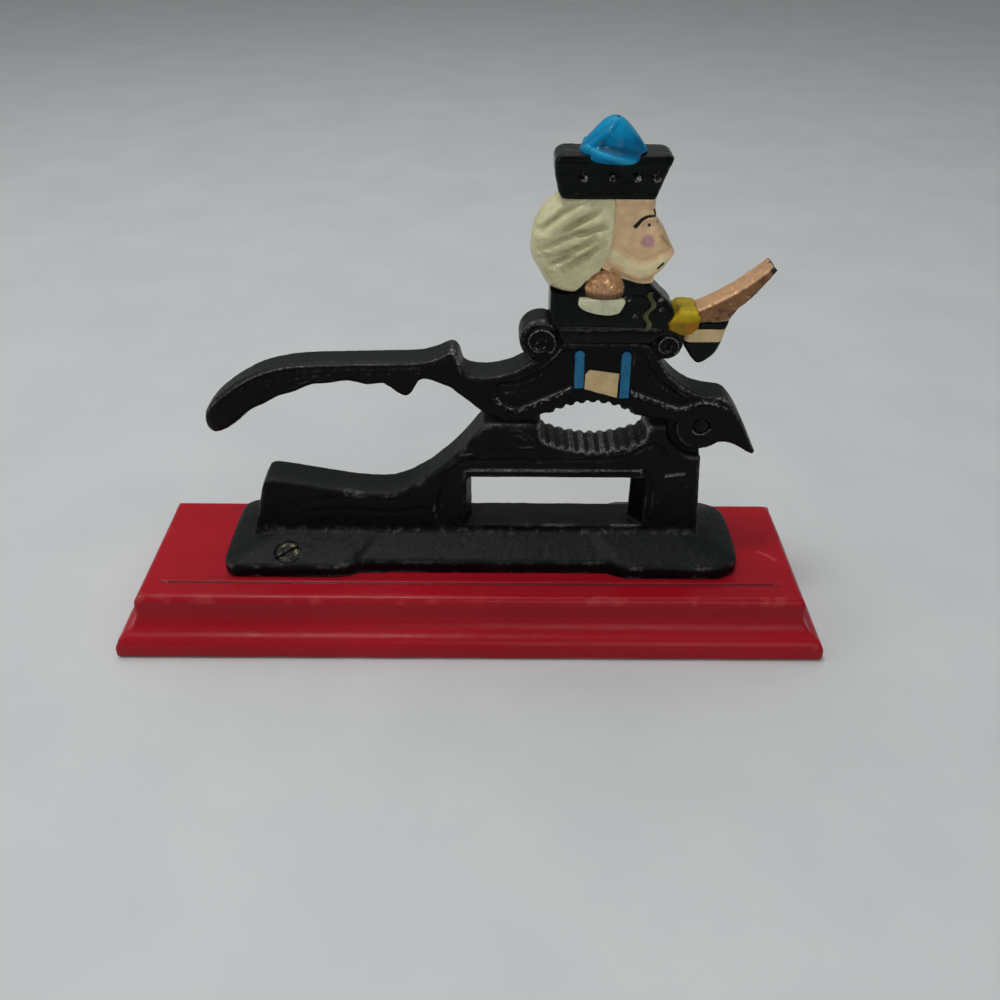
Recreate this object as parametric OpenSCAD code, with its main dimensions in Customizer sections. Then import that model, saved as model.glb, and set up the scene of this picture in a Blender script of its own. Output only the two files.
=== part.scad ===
// Lever nutcracker press: a cast frame screwed to a moulded wooden base, and a cast lever
// with a toy-soldier figure that closes on it. X runs along the base, Y to the back, Z up.
// The origin is the middle of the underside of the base.

/* [Base] */
// Length of the wooden base
base_length = 254; // [228:1:320]
// Depth of the wooden base, front to back
base_depth = 76; // [72:1:110]
// Height of the wooden base
base_height = 22; // [20:0.5:32]
// Radius of the convex swell of the moulding
ovolo_r = 5; // [3:0.5:6]
// Radius of the hollow of the moulding
cove_r = 7.5; // [5:0.5:9]
// Distance from the base's front face to the scored line on its top
score_inset = 16.5; // [13:0.5:18]

/* [Plate] */
// Length of the iron plate under the frame
plate_length = 189; // [176:1:200]
// Depth of the plate at its wide ends
plate_depth = 43; // [38:0.5:48]
// How much narrower each side of the plate is between its ends
plate_waist = 3; // [0:0.5:5]
// Thickness of the plate at its rim
plate_rim = 5; // [4:0.5:7]
// Height of the plate's ridge above the base
ridge_height = 14; // [12:0.5:18]
// Width of the rounded top of the ridge
ridge_width = 2.5; // [1.5:0.5:6]
// Distance of the castings' middle plane behind the middle of the base
casting_y = 3; // [-4:0.5:4]

/* [Frame] */
// Thickness of the frame's web
web_t = 14.5; // [12:0.25:20]
// Distance of the pivot to the right of the middle of the base
pivot_x = 80; // [78:0.5:84]
// Height of the pivot above the wooden base
pivot_height = 55.5; // [50:0.5:68]
// Length of the window, at its narrowest
window_length = 58; // [46:0.5:60]
// Height of the window above the ridge
window_height = 19.5; // [14:0.5:20]
// Bevel round the window
window_bevel = 2.5; // [1:0.25:4]

/* [Pivot] */
// Diameter of the pivot pin
pin_d = 6; // [4:0.1:8]
// Diameter of the lever's boss
boss_d = 17.5; // [15:0.5:20]
// Thickness of the frame's tongue between the lever's cheeks
tongue_t = 5.5; // [4:0.25:7]
// Gap between the tongue and each cheek, and round the boss in its recess
fork_gap = 0.35; // [0.2:0.05:0.8]
// Radius of the recess in which the boss turns
recess_r = 12.2; // [11.5:0.1:13]

/* [Jaws] */
// Radius of the hollow of the lower jaw
lower_jaw_r = 38; // [30:0.5:50]
// Radius of the hollow of the upper jaw
upper_jaw_r = 25; // [22:0.5:34]
// Length of the lower jaw
jaw_length = 36.6; // [30:0.2:38]
// Spacing of the jaws' ribs
rib_pitch = 3.6; // [3:0.1:5]
// Depth of the grooves between the ribs
rib_depth = 0.9; // [0.4:0.1:1.2]

/* [Lever] */
// Thickness of the lever
lever_t = 13; // [11:0.25:18]
// Gap between the closed lever and the frame's shoulder
rest_gap = 0.3; // [0.2:0.05:0.6]
// Depth of the sunk panels in the lever's faces
panel_depth = 0.8; // [0.4:0.1:1.5]

/* [Figure] */
// Thickness of the figure's coat, face and hat
figure_t = 14; // [12:0.5:18]
// How far the hair stands out beyond the face on each side
hair_proud = 1.5; // [0.5:0.25:2.5]
// How far the epaulettes stand out from the coat
epaulette_proud = 3.2; // [1.5:0.1:4]
// Thickness of the sword's blade
blade_t = 9; // [6:0.25:12]
// How far painted trim stands out from the face it lies on
trim_proud = 0.7; // [0.4:0.1:1.2]

/* [Screws] */
// Diameter of the screws' heads
screw_head_d = 8.8; // [7:0.1:10]
// Diameter of the screws' shanks
screw_d = 4.2; // [3:0.1:5]
// Length of the screws
screw_length = 19; // [14:0.5:22]
// Distance of the screws from the ends of the plate
screw_inset = 23.5; // [20:0.5:28]
// How far the screws' heads lie under the slope of the plate
screw_sunk = 0.3; // [0:0.1:0.8]

/* [Hidden] */
$fn = 72;

CAST_BLACK = [0.08, 0.08, 0.09];
GLOSS_BLACK = [0.05, 0.06, 0.05];
BASE_RED = [0.55, 0.08, 0.1];
CREAM = [0.78, 0.77, 0.64];
SKIN = [0.85, 0.68, 0.52];
SKY_BLUE = [0.1, 0.52, 0.75];
COPPER = [0.72, 0.48, 0.32];
OCHRE = [0.75, 0.6, 0.12];
OLIVE = [0.42, 0.45, 0.15];
OLD_BRASS = [0.35, 0.32, 0.2];

eps = 0.01;
pivot_z = base_height + pivot_height;
plate_top = base_height + plate_rim;
ridge_z = base_height + ridge_height;
plate_x = 4;                        // the plate's middle, to the right of the base's
running_gap = 0.05;                 // radial, pin in the lever's cheeks
press_gap = 0.02;                   // radial, pin in the frame's tongue
slot_t = tongue_t + 2 * fork_gap;
slot_r = recess_r + fork_gap;
tongue_r = 7.8;                     // rounding of the frame's tongue, round the pivot
swing = 50;                         // how far the slot lets the lever turn, in degrees
screw_y = plate_depth / 2 - 5.2;    // the screws' distance from the castings' middle plane
slope_bow = 0.92;                   // how the plate's slope swells: 1 is straight
edge_r = 1.6;                       // rounding of the castings' edges
lever_low = 1.1;                    // lowest point of the lever's body, above the pivot
shoulder_z = lever_low - rest_gap;  // the frame's shoulder above the pivot
shelf_z = 0.3;                      // the frame's top beside the pivot, above the pivot
window_x1 = pivot_x - 22.1;         // right end of the window
window_x0 = window_x1 - window_length;
jaw_x = -37.4;                      // middle of the lower jaw, from the pivot
jaw_floor = -9.5;                   // bottom of the lower jaw, from the pivot
upper_jaw_x = -38.3;                // middle of the upper jaw, from the pivot
upper_jaw_top = 9.1;                // top of the upper jaw, from the pivot

// ---- curves and lofts ----

function spline(p, n) = [
  for (i = [0 : len(p) - 2])
    let (a = p[max(i - 1, 0)], b = p[i], c = p[i + 1], d = p[min(i + 2, len(p) - 1)])
    for (k = [0 : n - 1])
      let (t = k / n)
      0.5 * (2 * b + (c - a) * t + (2 * a - 5 * b + 4 * c - d) * t * t
             + (3 * b - a - 3 * c + d) * t * t * t),
  p[len(p) - 1]
];

function arc(c, r, a0, a1, n) = [
  for (i = [0 : n]) let (a = a0 + (a1 - a0) * i / n) c + r * [cos(a), sin(a)]
];

// A rounded rectangle from u0 to u1 and from -v to v, as a ring of 4 * (n + 1) points.
function rounded(u0, u1, v, r, n = 2) =
  let (q = min(r, v - eps, (u1 - u0) / 2 - eps))
  concat(
    arc([u1 - q, v - q], q, 0, 90, n),
    arc([u0 + q, v - q], q, 90, 180, n),
    arc([u0 + q, q - v], q, 180, 270, n),
    arc([u1 - q, q - v], q, 270, 360, n));

// A section across a casting, from point b up to point a of its outline, half_t thick each way.
function upright_ring(a, b, half_t, r, n = 2) =
  let (h = norm(a - b), d = (a - b) / h)
  [for (p = rounded(0, h, half_t, r, n)) [b[0] + d[0] * p[0], p[1], b[1] + d[1] * p[0]]];

// A level section of the figure at height z, from x0 to x1.
function level_ring(z, x0, x1, half_t, r, n = 3) =
  [for (p = rounded(x0, x1, half_t, r, n)) [p[0], -p[1], z]];

module loft(rings) {
  m = len(rings[0]);
  last = len(rings) - 1;
  points = [for (ring = rings) each ring];
  walls = [
    for (i = [0 : last - 1], j = [0 : m - 1])
      let (k = (j + 1) % m, a = i * m + j, b = i * m + k, c = a + m, d = b + m)
      each [[a, b, d], [a, d, c]]
  ];
  low_cap = [for (j = [1 : m - 2]) [0, j + 1, j]];
  high_cap = [for (j = [1 : m - 2]) [last * m, last * m + j, last * m + j + 1]];
  polyhedron(points, concat(walls, low_cap, high_cap));
}

// Raises a flat outline drawn in X and Z to a slab between two distances from the middle plane.
module slab(y0, y1) {
  translate([0, y1, 0])
    rotate([90, 0, 0])
      linear_extrude(y1 - y0)
        children();
}

// The same shape on the front and on the back face.
module both_faces() {
  children();
  mirror([0, 1, 0]) children();
}

// Places what is drawn round the pivot.
module at_pivot() {
  translate([pivot_x, casting_y, pivot_z]) children();
}

module pivot_cylinder(r, y0, y1) {
  translate([0, y1, 0])
    rotate([90, 0, 0])
      cylinder(r = r, h = y1 - y0);
}

// ---- wooden base ----

// Half of the base's section, from the foot to the top edge, half being half its width.
function moulding(half) =
  let (foot_r = 1.5, foot_h = 4, top_r = 2.8, turn = 65,
       ovolo = [half - ovolo_r, foot_h],
       cove = ovolo + (ovolo_r + cove_r) * [cos(turn), sin(turn)])
  concat(
    arc([half - foot_r, foot_r], foot_r, -90, 0, 4),
    arc(ovolo, ovolo_r, 0, turn, 8),
    arc(cove, cove_r, 180 + turn, 180, 8),
    arc([cove[0] - cove_r - top_r, base_height - top_r], top_r, 0, 90, 6));

module moulded_section(half) {
  side = moulding(half);
  n = len(side) - 1;
  polygon(concat(side, [for (i = [0 : n]) [-side[n - i][0], side[n - i][1]]]));
}

// How far a point of the plate's top is up its slope, and how high it is, by its distance
// from the middle plane.
slope_half = (plate_depth - ridge_width) / 2;
function slope_share(y) = (plate_depth / 2 - y) / slope_half;
function slope_z(t) = plate_top + (ridge_z - plate_top) * pow(t, slope_bow);

// Puts one screw at the front left of the plate and one at the back right, square to its slope,
// with the tops of their heads at height 0.
module at_screws() {
  tilt = atan2(ridge_z - plate_top, slope_half);
  reach = plate_length / 2 - screw_inset;
  for (side = [-1, 1])
    translate([plate_x + side * reach, casting_y + side * screw_y, slope_z(slope_share(screw_y))])
      rotate([-side * tilt, 0, 0])
        translate([0, 0, -screw_sunk]) children();
}

module wood_base() {
  pilot_gap = 0.05;
  score_r = 0.7;
  score_end = 15;
  color(BASE_RED)
    difference() {
      intersection() {
        translate([0, base_depth / 2, 0])
          rotate([90, 0, 0])
            linear_extrude(base_depth)
              moulded_section(base_length / 2);
        translate([-base_length / 2, 0, 0])
          rotate([90, 0, 90])
            linear_extrude(base_length)
              moulded_section(base_depth / 2);
      }
      at_screws()
        translate([0, 0, -screw_length - 1])
          cylinder(d = screw_d + 2 * pilot_gap, h = screw_length + 2);
      translate([score_end - base_length / 2, score_inset - base_depth / 2, base_height])
        rotate([0, 90, 0])
          cylinder(r = score_r, h = base_length - 2 * score_end, $fn = 24);
    }
}

// ---- frame ----

// One side of the plate's plan, from its right end to its left: bowed ends, a narrower waist.
function plate_side(sign) =
  let (half = plate_length / 2, wide = plate_depth / 2,
       drawn_in = plate_waist * (sign > 0 ? 1.4 : 1), waist = wide - drawn_in,
       step_x = 49, step_l = 7)
  [for (p = concat(
      spline([[half, 0], [half - 0.6, wide * 0.6], [half - 3, wide - 3], [half - 9, wide]], 3),
      [[step_x + step_l / 2, wide], [step_x, wide - drawn_in * 0.35],
       [step_x - step_l / 2, waist], [-step_x + step_l / 2, waist],
       [-step_x, wide - drawn_in * 0.35], [-step_x - step_l / 2, wide]],
      spline([[4 - half, wide], [1 - half, wide - 2.8], [0.2 - half, wide * 0.6], [-half, 0]], 3)))
    [plate_x + p[0], sign * p[1]]];

function plate_plan() =
  let (front = plate_side(-1), back = plate_side(1), n = len(front) - 1)
  concat(front, [for (i = [1 : n - 1]) back[n - i]]);

// The plate's outline drawn in by a share t on its way to the ridge, at height z.
function plate_ring(t, z) =
  let (ridge_x = plate_x + 2, ridge_half = plate_length * 0.37)
  [for (p = plate_plan())
    let (u = 2 * (p[0] - plate_x) / plate_length,
         y = sign(p[1]) * ridge_width / 2 * (1 - 0.3 * u * u))
    [p[0] + t * (ridge_x + u * ridge_half - p[0]), p[1] + t * (y - p[1]), z]];

module plate() {
  loft(concat(
    [plate_ring(0, base_height), plate_ring(0, plate_top - 0.7), plate_ring(0.02, plate_top)],
    [for (t = [0.06, 0.3, 0.65, 0.9]) plate_ring(t, slope_z(t))],
    [plate_ring(1, ridge_z)]));
}

// The fillet where one face of the web runs down into the plate, between x0 and x1.
module foot_fillet(x0, x1) {
  face = web_t / 2;
  top = ridge_z - 2;
  translate([x0, 0, 0])
    rotate([90, 0, 90])
      linear_extrude(x1 - x0)
        polygon([[face - 1, top - 5], [face - 1, top], [face, top], [face + 0.5, top - 1.2],
                 [face + 1.5, top - 2.4], [face + 3.2, top - 3.6], [face + 4.5, top - 5]]);
}

module foot_fillets() {
  web_left = -158.6;
  post_right = 2.6;
  both_faces() {
    foot_fillet(pivot_x + web_left, window_x0 - window_bevel);
    foot_fillet(window_x1 + 2 * window_bevel, pivot_x + post_right);
  }
}

// Pairs of points on the web's top and foot, left to right. Saddle points are measured from
// the pivot along X and from the wooden base in height, throat points from the pivot both ways.
function web_pairs() =
  let (foot = base_height + 3)
  concat(
    [for (p = spline([
        [-154.9, 30, -161.9], [-154.1, 32, -160.8], [-151.2, 32.8, -157], [-145, 31.9, -150],
        [-136, 30.3, -140], [-127, 28.6, -130], [-117, 27.3, -119], [-109, 27.5, -110],
        [-102, 30.1, -102]], 2))
      [[pivot_x + p[0], base_height + p[1]], [pivot_x + p[2], foot]]],
    [for (p = spline([
        [-95, -20.9], [-88, -14.7], [-83, -9.3], [-79, -4.2], [-75.4, 0.6]], 2))
      [[pivot_x + p[0], pivot_z + p[1]], [pivot_x + p[0], foot]]],
    [for (p = [
        [-74, shoulder_z, -74], [-57.7, shoulder_z, -57.7], [-55.9, shelf_z, -55.9],
        [-2, shelf_z, 1.5], [0, shelf_z - 0.6, 3.6]])
      [[pivot_x + p[0], pivot_z + p[1]], [pivot_x + p[2], foot]]]);

module web() {
  pairs = web_pairs();
  last = len(pairs) - 1;
  out = [0.35, 0];
  left = upright_ring(pairs[0][0] - out, pairs[0][1] - out, web_t / 2 - 1, edge_r);
  right = upright_ring(pairs[last][0] + out, pairs[last][1] + out, web_t / 2 - 1, edge_r);
  loft(concat(
    [left],
    [for (p = pairs) upright_ring(p[0], p[1], web_t / 2, edge_r)],
    [right]));
}

// The window, widest at the faces and narrowest at the middle plane.
module window() {
  x0 = window_x0;
  x1 = window_x1;
  far = web_t / 2 + 1;
  b = window_bevel * far / (web_t / 2);
  corner = 2;
  for (side = [-1, 1])
    hull() {
      window_slice(x0, x1, ridge_z, ridge_z + window_height, 0, corner);
      window_slice(x0 - 0.7 * b, x1 + 2 * b, ridge_z, ridge_z + window_height + b / 2, side * far,
                   corner);
    }
}

module window_slice(x0, x1, z0, z1, y, r) {
  translate([x0, y, z0])
    rotate([90, 0, 0])
      linear_extrude(eps, center = true)
        polygon(concat(
          arc([x1 - x0 - r, z1 - z0 - r], r, 0, 90, 4),
          arc([r, z1 - z0 - r], r, 90, 180, 4),
          [[0, 0], [x1 - x0, 0]]));
}

// The hollow of the lower jaw, square-ended, and the grooves between its ribs.
module lower_jaw_cut() {
  far = web_t / 2 + 1;
  slab(-far, far)
    intersection() {
      translate([jaw_x, jaw_floor + lower_jaw_r]) circle(r = lower_jaw_r, $fn = 180);
      translate([jaw_x - jaw_length / 2, jaw_floor - 1]) square([jaw_length, 24]);
    }
  jaw_grooves(jaw_x, jaw_floor + lower_jaw_r, lower_jaw_r, -90, jaw_length, far);
}

// Round-bottomed grooves across a jaw of radius r, spread evenly round direction mid.
module jaw_grooves(x, z, r, mid, length, far) {
  step = rib_pitch / r * 180 / PI;
  count = floor(length / rib_pitch);
  for (i = [0 : count - 1]) {
    a = mid + (i - (count - 1) / 2) * step;
    translate([x + r * cos(a), 0, z + r * sin(a)])
      pivot_cylinder(rib_depth, -far, far);
  }
}

// The grooves cast under the lower jaw and down the post beside the window, measured from the
// pivot.
web_groove = spline([
  [-91.5, -42.5], [-92, -32.5], [-90, -25.5], [-88.4, -19.5], [-85, -15.5], [-80, -13.9],
  [-60, -13.7], [-35, -13.3], [-27, -12.1], [-23, -10.3], [-20, -8.1], [-16.5, -6.9],
  [-13.5, -8.5], [-10, -12.9]], 2);
post_groove = spline([
  [-19.2, -17.5], [-17, -20.5], [-15.7, -25.5], [-15.4, -31.5], [-15.8, -36.5], [-15.6, -40]], 2);

module web_grooves() {
  depth = 0.6;
  width = 1.5;
  both_faces()
    slab(web_t / 2 - depth, web_t)
      translate([pivot_x, pivot_z]) {
        bead(web_groove, width);
        bead(post_groove, width);
      }
}

module frame_casting() {
  head_room = 12;
  rim_gap = 0.3;
  color(CAST_BLACK)
    difference() {
      union() {
        translate([0, casting_y, 0]) {
          plate();
          foot_fillets();
          difference() {
            web();
            window();
            web_grooves();
          }
        }
        at_pivot()
          pivot_cylinder(tongue_r, -tongue_t / 2, tongue_t / 2);
      }
      at_pivot() {
        lower_jaw_cut();
        both_faces()
          pivot_cylinder(recess_r, tongue_t / 2, web_t / 2 + 1);
        pivot_cylinder(pin_d / 2 + press_gap, -web_t, web_t);
      }
      at_screws() {
        cylinder(d = screw_head_d + 2 * rim_gap, h = head_room);
        screw_body(0.05);
      }
    }
}

// ---- screws and pin ----

// A countersunk screw, or its hole where gap is its clearance.
module screw_body(gap) {
  cone_h = (screw_head_d - screw_d) / 2;
  land = 0.4;
  translate([0, 0, -land])
    cylinder(d = screw_head_d + 2 * gap, h = land + eps * sign(gap));
  translate([0, 0, -land - cone_h])
    cylinder(d1 = screw_d + 2 * gap, d2 = screw_head_d + 2 * gap, h = cone_h);
  translate([0, 0, -screw_length])
    cylinder(d = screw_d + 2 * gap, h = screw_length - land - cone_h);
}

module plate_screws() {
  slot_w = 1.2;
  slot_depth = 1.1;
  color(OLD_BRASS)
    at_screws()
      difference() {
        screw_body(0);
        rotate(35)
          translate([-screw_head_d, -slot_w / 2, -slot_depth])
            cube([2 * screw_head_d, slot_w, 2 * slot_depth]);
      }
}

module pivot_pin() {
  sunk = 0.6;
  half = lever_t / 2 - sunk;
  dome = 0.5;
  color(CAST_BLACK)
    at_pivot()
      rotate([90, 0, 0])
        rotate_extrude()
          polygon([[0, -half], [pin_d / 2 - dome, -half], [pin_d / 2, dome - half],
                   [pin_d / 2, half - dome], [pin_d / 2 - dome, half], [0, half]]);
}

// ---- lever ----

// Sections along the lever, from the handle's tip to the tail: the point on its upper edge,
// the point on its lower edge, half its thickness as a share of the body's, and its rounding.
lever_sections = [
  [-172.6, -0.6, -171.8, -3.6, 0.55, 1.6],
  [-172.0, 3.0, -169.4, -5.0, 0.78, 2.4],
  [-168.7, 7.5, -164.9, -3.1, 0.9, 2.4],
  [-164.5, 11.1, -160.3, 0.3, 0.94, 2.4],
  [-160.0, 14.5, -155.8, 4.4, 0.95, 2.4],
  [-154.0, 18.0, -151.0, 6.8, 0.95, 2.2],
  [-148.0, 20.4, -145.7, 10.0, 0.95, 2.2],
  [-141.0, 21.9, -139.8, 11.7, 0.95, 2.2],
  [-134.5, 22.5, -134.0, 14.4, 0.95, 2.2],
  [-128.0, 22.8, -128.0, 14.8, 0.95, 2.2],
  [-121.5, 23.0, -121.5, 16.0, 0.95, 2.2],
  [-115.0, 23.2, -115.0, 14.4, 0.95, 2.2],
  [-109.5, 23.3, -109.5, 15.0, 0.95, 2.2],
  [-105.0, 23.4, -105.0, 11.7, 0.95, 2.2],
  [-102.0, 23.4, -102.0, 10.3, 0.95, 2.2],
  [-99.5, 23.5, -99.8, 12.3, 0.95, 2.0],
  [-97.0, 23.7, -97.5, 16.2, 0.95, 2.0],
  [-94.0, 24.3, -94.5, 16.8, 0.95, 1.8],
  [-90.5, 25.4, -91.0, 15.5, 0.95, 1.8],
  [-87.0, 27.4, -88.5, 14.2, 0.92, 2.2],
  [-84.9, 27.0, -86.5, 13.3, 0.95, 2.2],
  [-83.6, 24.2, -85.0, 12.4, 1, 1.6],
  [-82.6, 20.6, -83.5, 11.2, 1, 1.6],
  [-80.0, 19.0, -80.0, 8.3, 1, 1.6],
  [-75.0, 18.5, -76.0, 4.8, 1, 1.6],
  [-70.0, 19.2, -72.0, 2.5, 1, 1.6],
  [-65.0, 20.9, -67.0, 1.3, 1, 1.6],
  [-60.0, 24.0, -62.0, 1.3, 1, 1.6],
  [-54.0, 28.5, -57.5, 2.8, 1, 1.6],
  [-49.0, 31.2, -54.5, 4.4, 1, 1.6],
  [-44.0, 31.5, -48.0, 4.5, 1, 1.2],
  [-35.0, 31.5, -36.0, 4.5, 1, 1.2],
  [-26.0, 31.5, -25.0, 4.3, 1, 1.2],
  [-20.0, 30.0, -19.5, 3.1, 1, 1.6],
  [-16.5, 25.0, -15.0, 2.2, 1, 1.6],
  [-13.5, 20.3, -11.0, 1.7, 1, 1.6],
  [-9.5, 16.5, -7.0, 0.4, 1, 1.6],
  [-4.5, 13.3, -3.0, -3.0, 1, 1.6],
  [0.5, 11.8, 1.0, -6.4, 1, 1.6],
  [6.5, 10.9, 4.5, -7.2, 1, 1.6],
  [9.4, 8.6, 7.5, -6.7, 1, 1.6],
  [12.6, 4.2, 10.7, -7.0, 1, 1.6],
  [15.9, -1.8, 14.3, -8.7, 0.98, 1.4],
  [18.4, -6.9, 17.1, -10.5, 0.95, 1.0],
  [20.1, -10.3, 19.4, -11.4, 0.9, 0.5]
];

// The scrolls that end the lever's arms, either side of the figure.
left_scroll = [-56.8, 31.7, 7.1];
right_scroll = [-15, 30.5, 5.4];
coat_foot = 31.5;

module scroll(s) {
  half = lever_t / 2;
  round_r = 2.2;
  translate([s[0], 0, s[1]]) {
    rotate([90, 0, 0])
      rotate_extrude()
        polygon(concat(
          [[0, -half]],
          arc([s[2] - round_r, round_r - half], round_r, -90, 0, 4),
          arc([s[2] - round_r, half - round_r], round_r, 0, 90, 4),
          [[0, half]]));
    both_faces()
      slab(half - 1, half + 0.7)
        bead(coil(s[2] * 0.18, s[2] * 0.68, 1.7), s[2] * 0.2);
  }
}

// A spiral of so many turns, from radius r0 out to radius r1.
function coil(r0, r1, turns) = [
  for (i = [0 : turns * 14])
    let (t = i / floor(turns * 14), a = 200 - 360 * turns * t) (r0 + (r1 - r0) * t) * [cos(a), sin(a)]
];

// The outlines of the two sunk panels and of the raised border under each.
left_panel = [
  [-71, 9.3], [-64.6, 6], [-45.4, 15.4], [-45.4, 29.2], [-50, 28.4], [-54, 23.6], [-60, 19.4],
  [-66, 17.2], [-70.6, 16.4], [-71.8, 14]
];
right_panel = [
  [-25.2, 13.2], [-8, 6.6], [-5.4, 10.4], [-10.4, 13.8], [-16, 18.4], [-19.6, 22.6],
  [-21.6, 27.4], [-25.2, 29]
];
left_border = spline([[-71.6, 10.6], [-68.6, 7.4], [-64.6, 6], [-60, 7.8], [-45.8, 14.7]], 2);
right_border = spline([[-25.6, 13.3], [-16.5, 9.8], [-8.5, 6.9], [-4.5, 8.2], [0.5, 9.6], [5, 8.6]], 2);

// A ribbon w wide that follows a path of points.
module bead(path, w) {
  n = len(path) - 1;
  across = [for (i = [0 : n])
    let (d = path[min(i + 1, n)] - path[max(i - 1, 0)]) [-d[1], d[0]] * w / 2 / norm(d)];
  polygon(concat(
    [for (i = [0 : n]) path[i] + across[i]],
    [for (i = [0 : n]) path[n - i] - across[n - i]]));
}

module upper_jaw_cut() {
  far = lever_t / 2 + 1;
  centre_z = upper_jaw_top - upper_jaw_r;
  pocket = 31;
  translate([upper_jaw_x, 0, centre_z])
    pivot_cylinder(upper_jaw_r, -far, far);
  jaw_grooves(upper_jaw_x, centre_z, upper_jaw_r, 90, pocket, far);
}

// The slot for the frame's tongue: room for its rounded end, and for the post as the lever turns.
module slot_outline() {
  post_side = 1.2;
  top = shelf_z + fork_gap;
  side = post_side + fork_gap;
  bend = (side - top * sin(swing)) / cos(swing);
  reach = 2 * slot_r;
  circle(r = tongue_r + fork_gap);
  intersection() {
    circle(r = slot_r);
    polygon([[-reach, top], [bend, top], [bend + reach * sin(swing), top - reach * cos(swing)],
             [bend, -reach], [-reach, -reach]]);
  }
}

module lever_casting() {
  half = lever_t / 2;
  bead_w = 1.5;
  color(CAST_BLACK)
    at_pivot()
      difference() {
        union() {
          loft([for (s = spline(lever_sections, 2))
            upright_ring([s[0], min(s[1], coat_foot)], [s[2], s[3]], half * s[4], s[5])]);
          scroll(left_scroll);
          scroll(right_scroll);
          pivot_cylinder(boss_d / 2, -half, half);
          both_faces() {
            slab(half - 1, half + 0.5) bead(left_border, bead_w);
            slab(half - 1, half + 0.5) bead(right_border, bead_w);
          }
        }
        both_faces() {
          slab(half - panel_depth, half + 2)
            difference() {
              polygon(left_panel);
              bead(left_border, bead_w);
            }
          slab(half - panel_depth, half + 2)
            difference() {
              polygon(right_panel);
              bead(right_border, bead_w);
            }
        }
        upper_jaw_cut();
        slab(-slot_t / 2, slot_t / 2) slot_outline();
        pivot_cylinder(pin_d / 2 + running_gap, -lever_t, lever_t);
      }
}

// ---- figure ----

// Level sections of the coat: height, left, right.
coat_rows = [
  [31.5, -54.2, -17.2], [36, -54.2, -15.2], [40.5, -54.2, -13.4], [44, -54.2, -14.5],
  [46.5, -54.2, -17], [49.5, -54.2, -20.1], [52, -54.2, -22.6], [57.5, -53.8, -28]
];

// Outline of the whole head below the hat, hair and face together, counter-clockwise.
hair_edge = [
  [-52.3, 79], [-57.5, 74.5], [-59.7, 70.5], [-60.7, 65.5], [-60.8, 61], [-59.2, 56.2],
  [-57.2, 52.6], [-55, 50], [-52.4, 48.7], [-49.2, 48.3], [-46.7, 49.2], [-44.8, 51.2],
  [-43.3, 53.6], [-40.6, 54.8], [-38.7, 57.5]
];
hair_line = [[-38.7, 57.5], [-37.5, 60.5], [-36.3, 63.5], [-35.8, 67.5], [-35.5, 72.5], [-35.4, 79]];
jaw_line = [[-38.7, 57.5], [-36, 55.8], [-33, 54.3], [-30, 53.5], [-27, 52.5], [-24, 52.2], [-21.2, 52]];
profile_line = [
  [-21.2, 52], [-21.1, 53.8], [-20.7, 55.1], [-19.6, 55.5], [-18.5, 57.4], [-18.3, 58.4],
  [-16.7, 59.9], [-15.4, 61.4], [-16.4, 63], [-18.6, 67.5], [-20.6, 70.2], [-22, 71.5],
  [-22.7, 75.5], [-22.9, 79]
];
hat_top = 91.8;
hat_rows = [
  [79, -52.2, -23], [82, -53.3, -22], [86, -54.1, -20.6], [89.2, -54.3, -19.3],
  [91, -53.6, -18.9], [91.8, -52.2, -20.2]
];
cuff_edge = [
  [-15.9, 38.6], [-15.1, 36], [-13.2, 34.6], [-10.1, 34.1], [-7.2, 34.7], [-5.2, 36.8],
  [-4.9, 39.9], [-6.1, 42.3], [-9, 42.6], [-11.7, 42.6], [-14.1, 40.6]
];
epaulette_centre = [-37.1, 50.4];
epaulette_r = 6.4;
fringe_top = 47.8;

module head_plan() {
  polygon(concat(spline(hair_edge, 2), spline(jaw_line, 2), profile_line));
}

module face_side() {
  polygon(concat(spline(hair_line, 2), [[0, 79], [0, 40], [-38.7, 40]]));
}

module figure_coat() {
  half = figure_t / 2;
  color(GLOSS_BLACK)
    at_pivot()
      difference() {
        loft([for (s = spline(coat_rows, 2)) level_ring(s[0], s[1], s[2], half, 2.2)]);
        slab(-half - 1, half + 1) {
          head_plan();
          translate([left_scroll[0], left_scroll[1]]) circle(r = left_scroll[2] + eps);
          translate([right_scroll[0], right_scroll[1]]) circle(r = right_scroll[2] + eps);
          polygon(cuff_edge);
        }
      }
}

// A wavy cord down the chest, drawn as a sine.
module coat_braid() {
  half = figure_t / 2;
  sway = 1;
  low = 36.4;
  high = 49.6;
  lean = 0.12;
  wave = 7;
  width = 1.7;
  n = 24;
  middle = [for (i = [0 : n])
    let (z = (high - low) * i / n) [-23 + lean * z + sway * sin(z / wave * 360), low + z]];
  color(OLIVE)
    at_pivot()
      both_faces()
        slab(half, half + trim_proud)
          polygon(concat(
            [for (p = middle) p + [width / 2, 0]],
            [for (i = [0 : n]) middle[n - i] - [width / 2, 0]]));
}

// A shallow dome on each shoulder, a slice of a sphere.
module epaulettes() {
  half = figure_t / 2;
  ball_r = (epaulette_r * epaulette_r + epaulette_proud * epaulette_proud) / (2 * epaulette_proud);
  color(COPPER)
    at_pivot()
      both_faces()
        intersection() {
          translate([epaulette_centre[0], half + epaulette_proud - ball_r, epaulette_centre[1]])
            sphere(r = ball_r);
          translate([epaulette_centre[0] - 10, half, fringe_top])
            cube([20, 10, 20]);
        }
}

fringe_edge = [
  [-44.4, 49], [-45.3, 46.4], [-44, 44.6], [-41.5, 43.4], [-38, 42.6], [-35, 42.5], [-32.4, 43.1],
  [-31.4, 44.6], [-30.4, 47.4]
];

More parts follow.
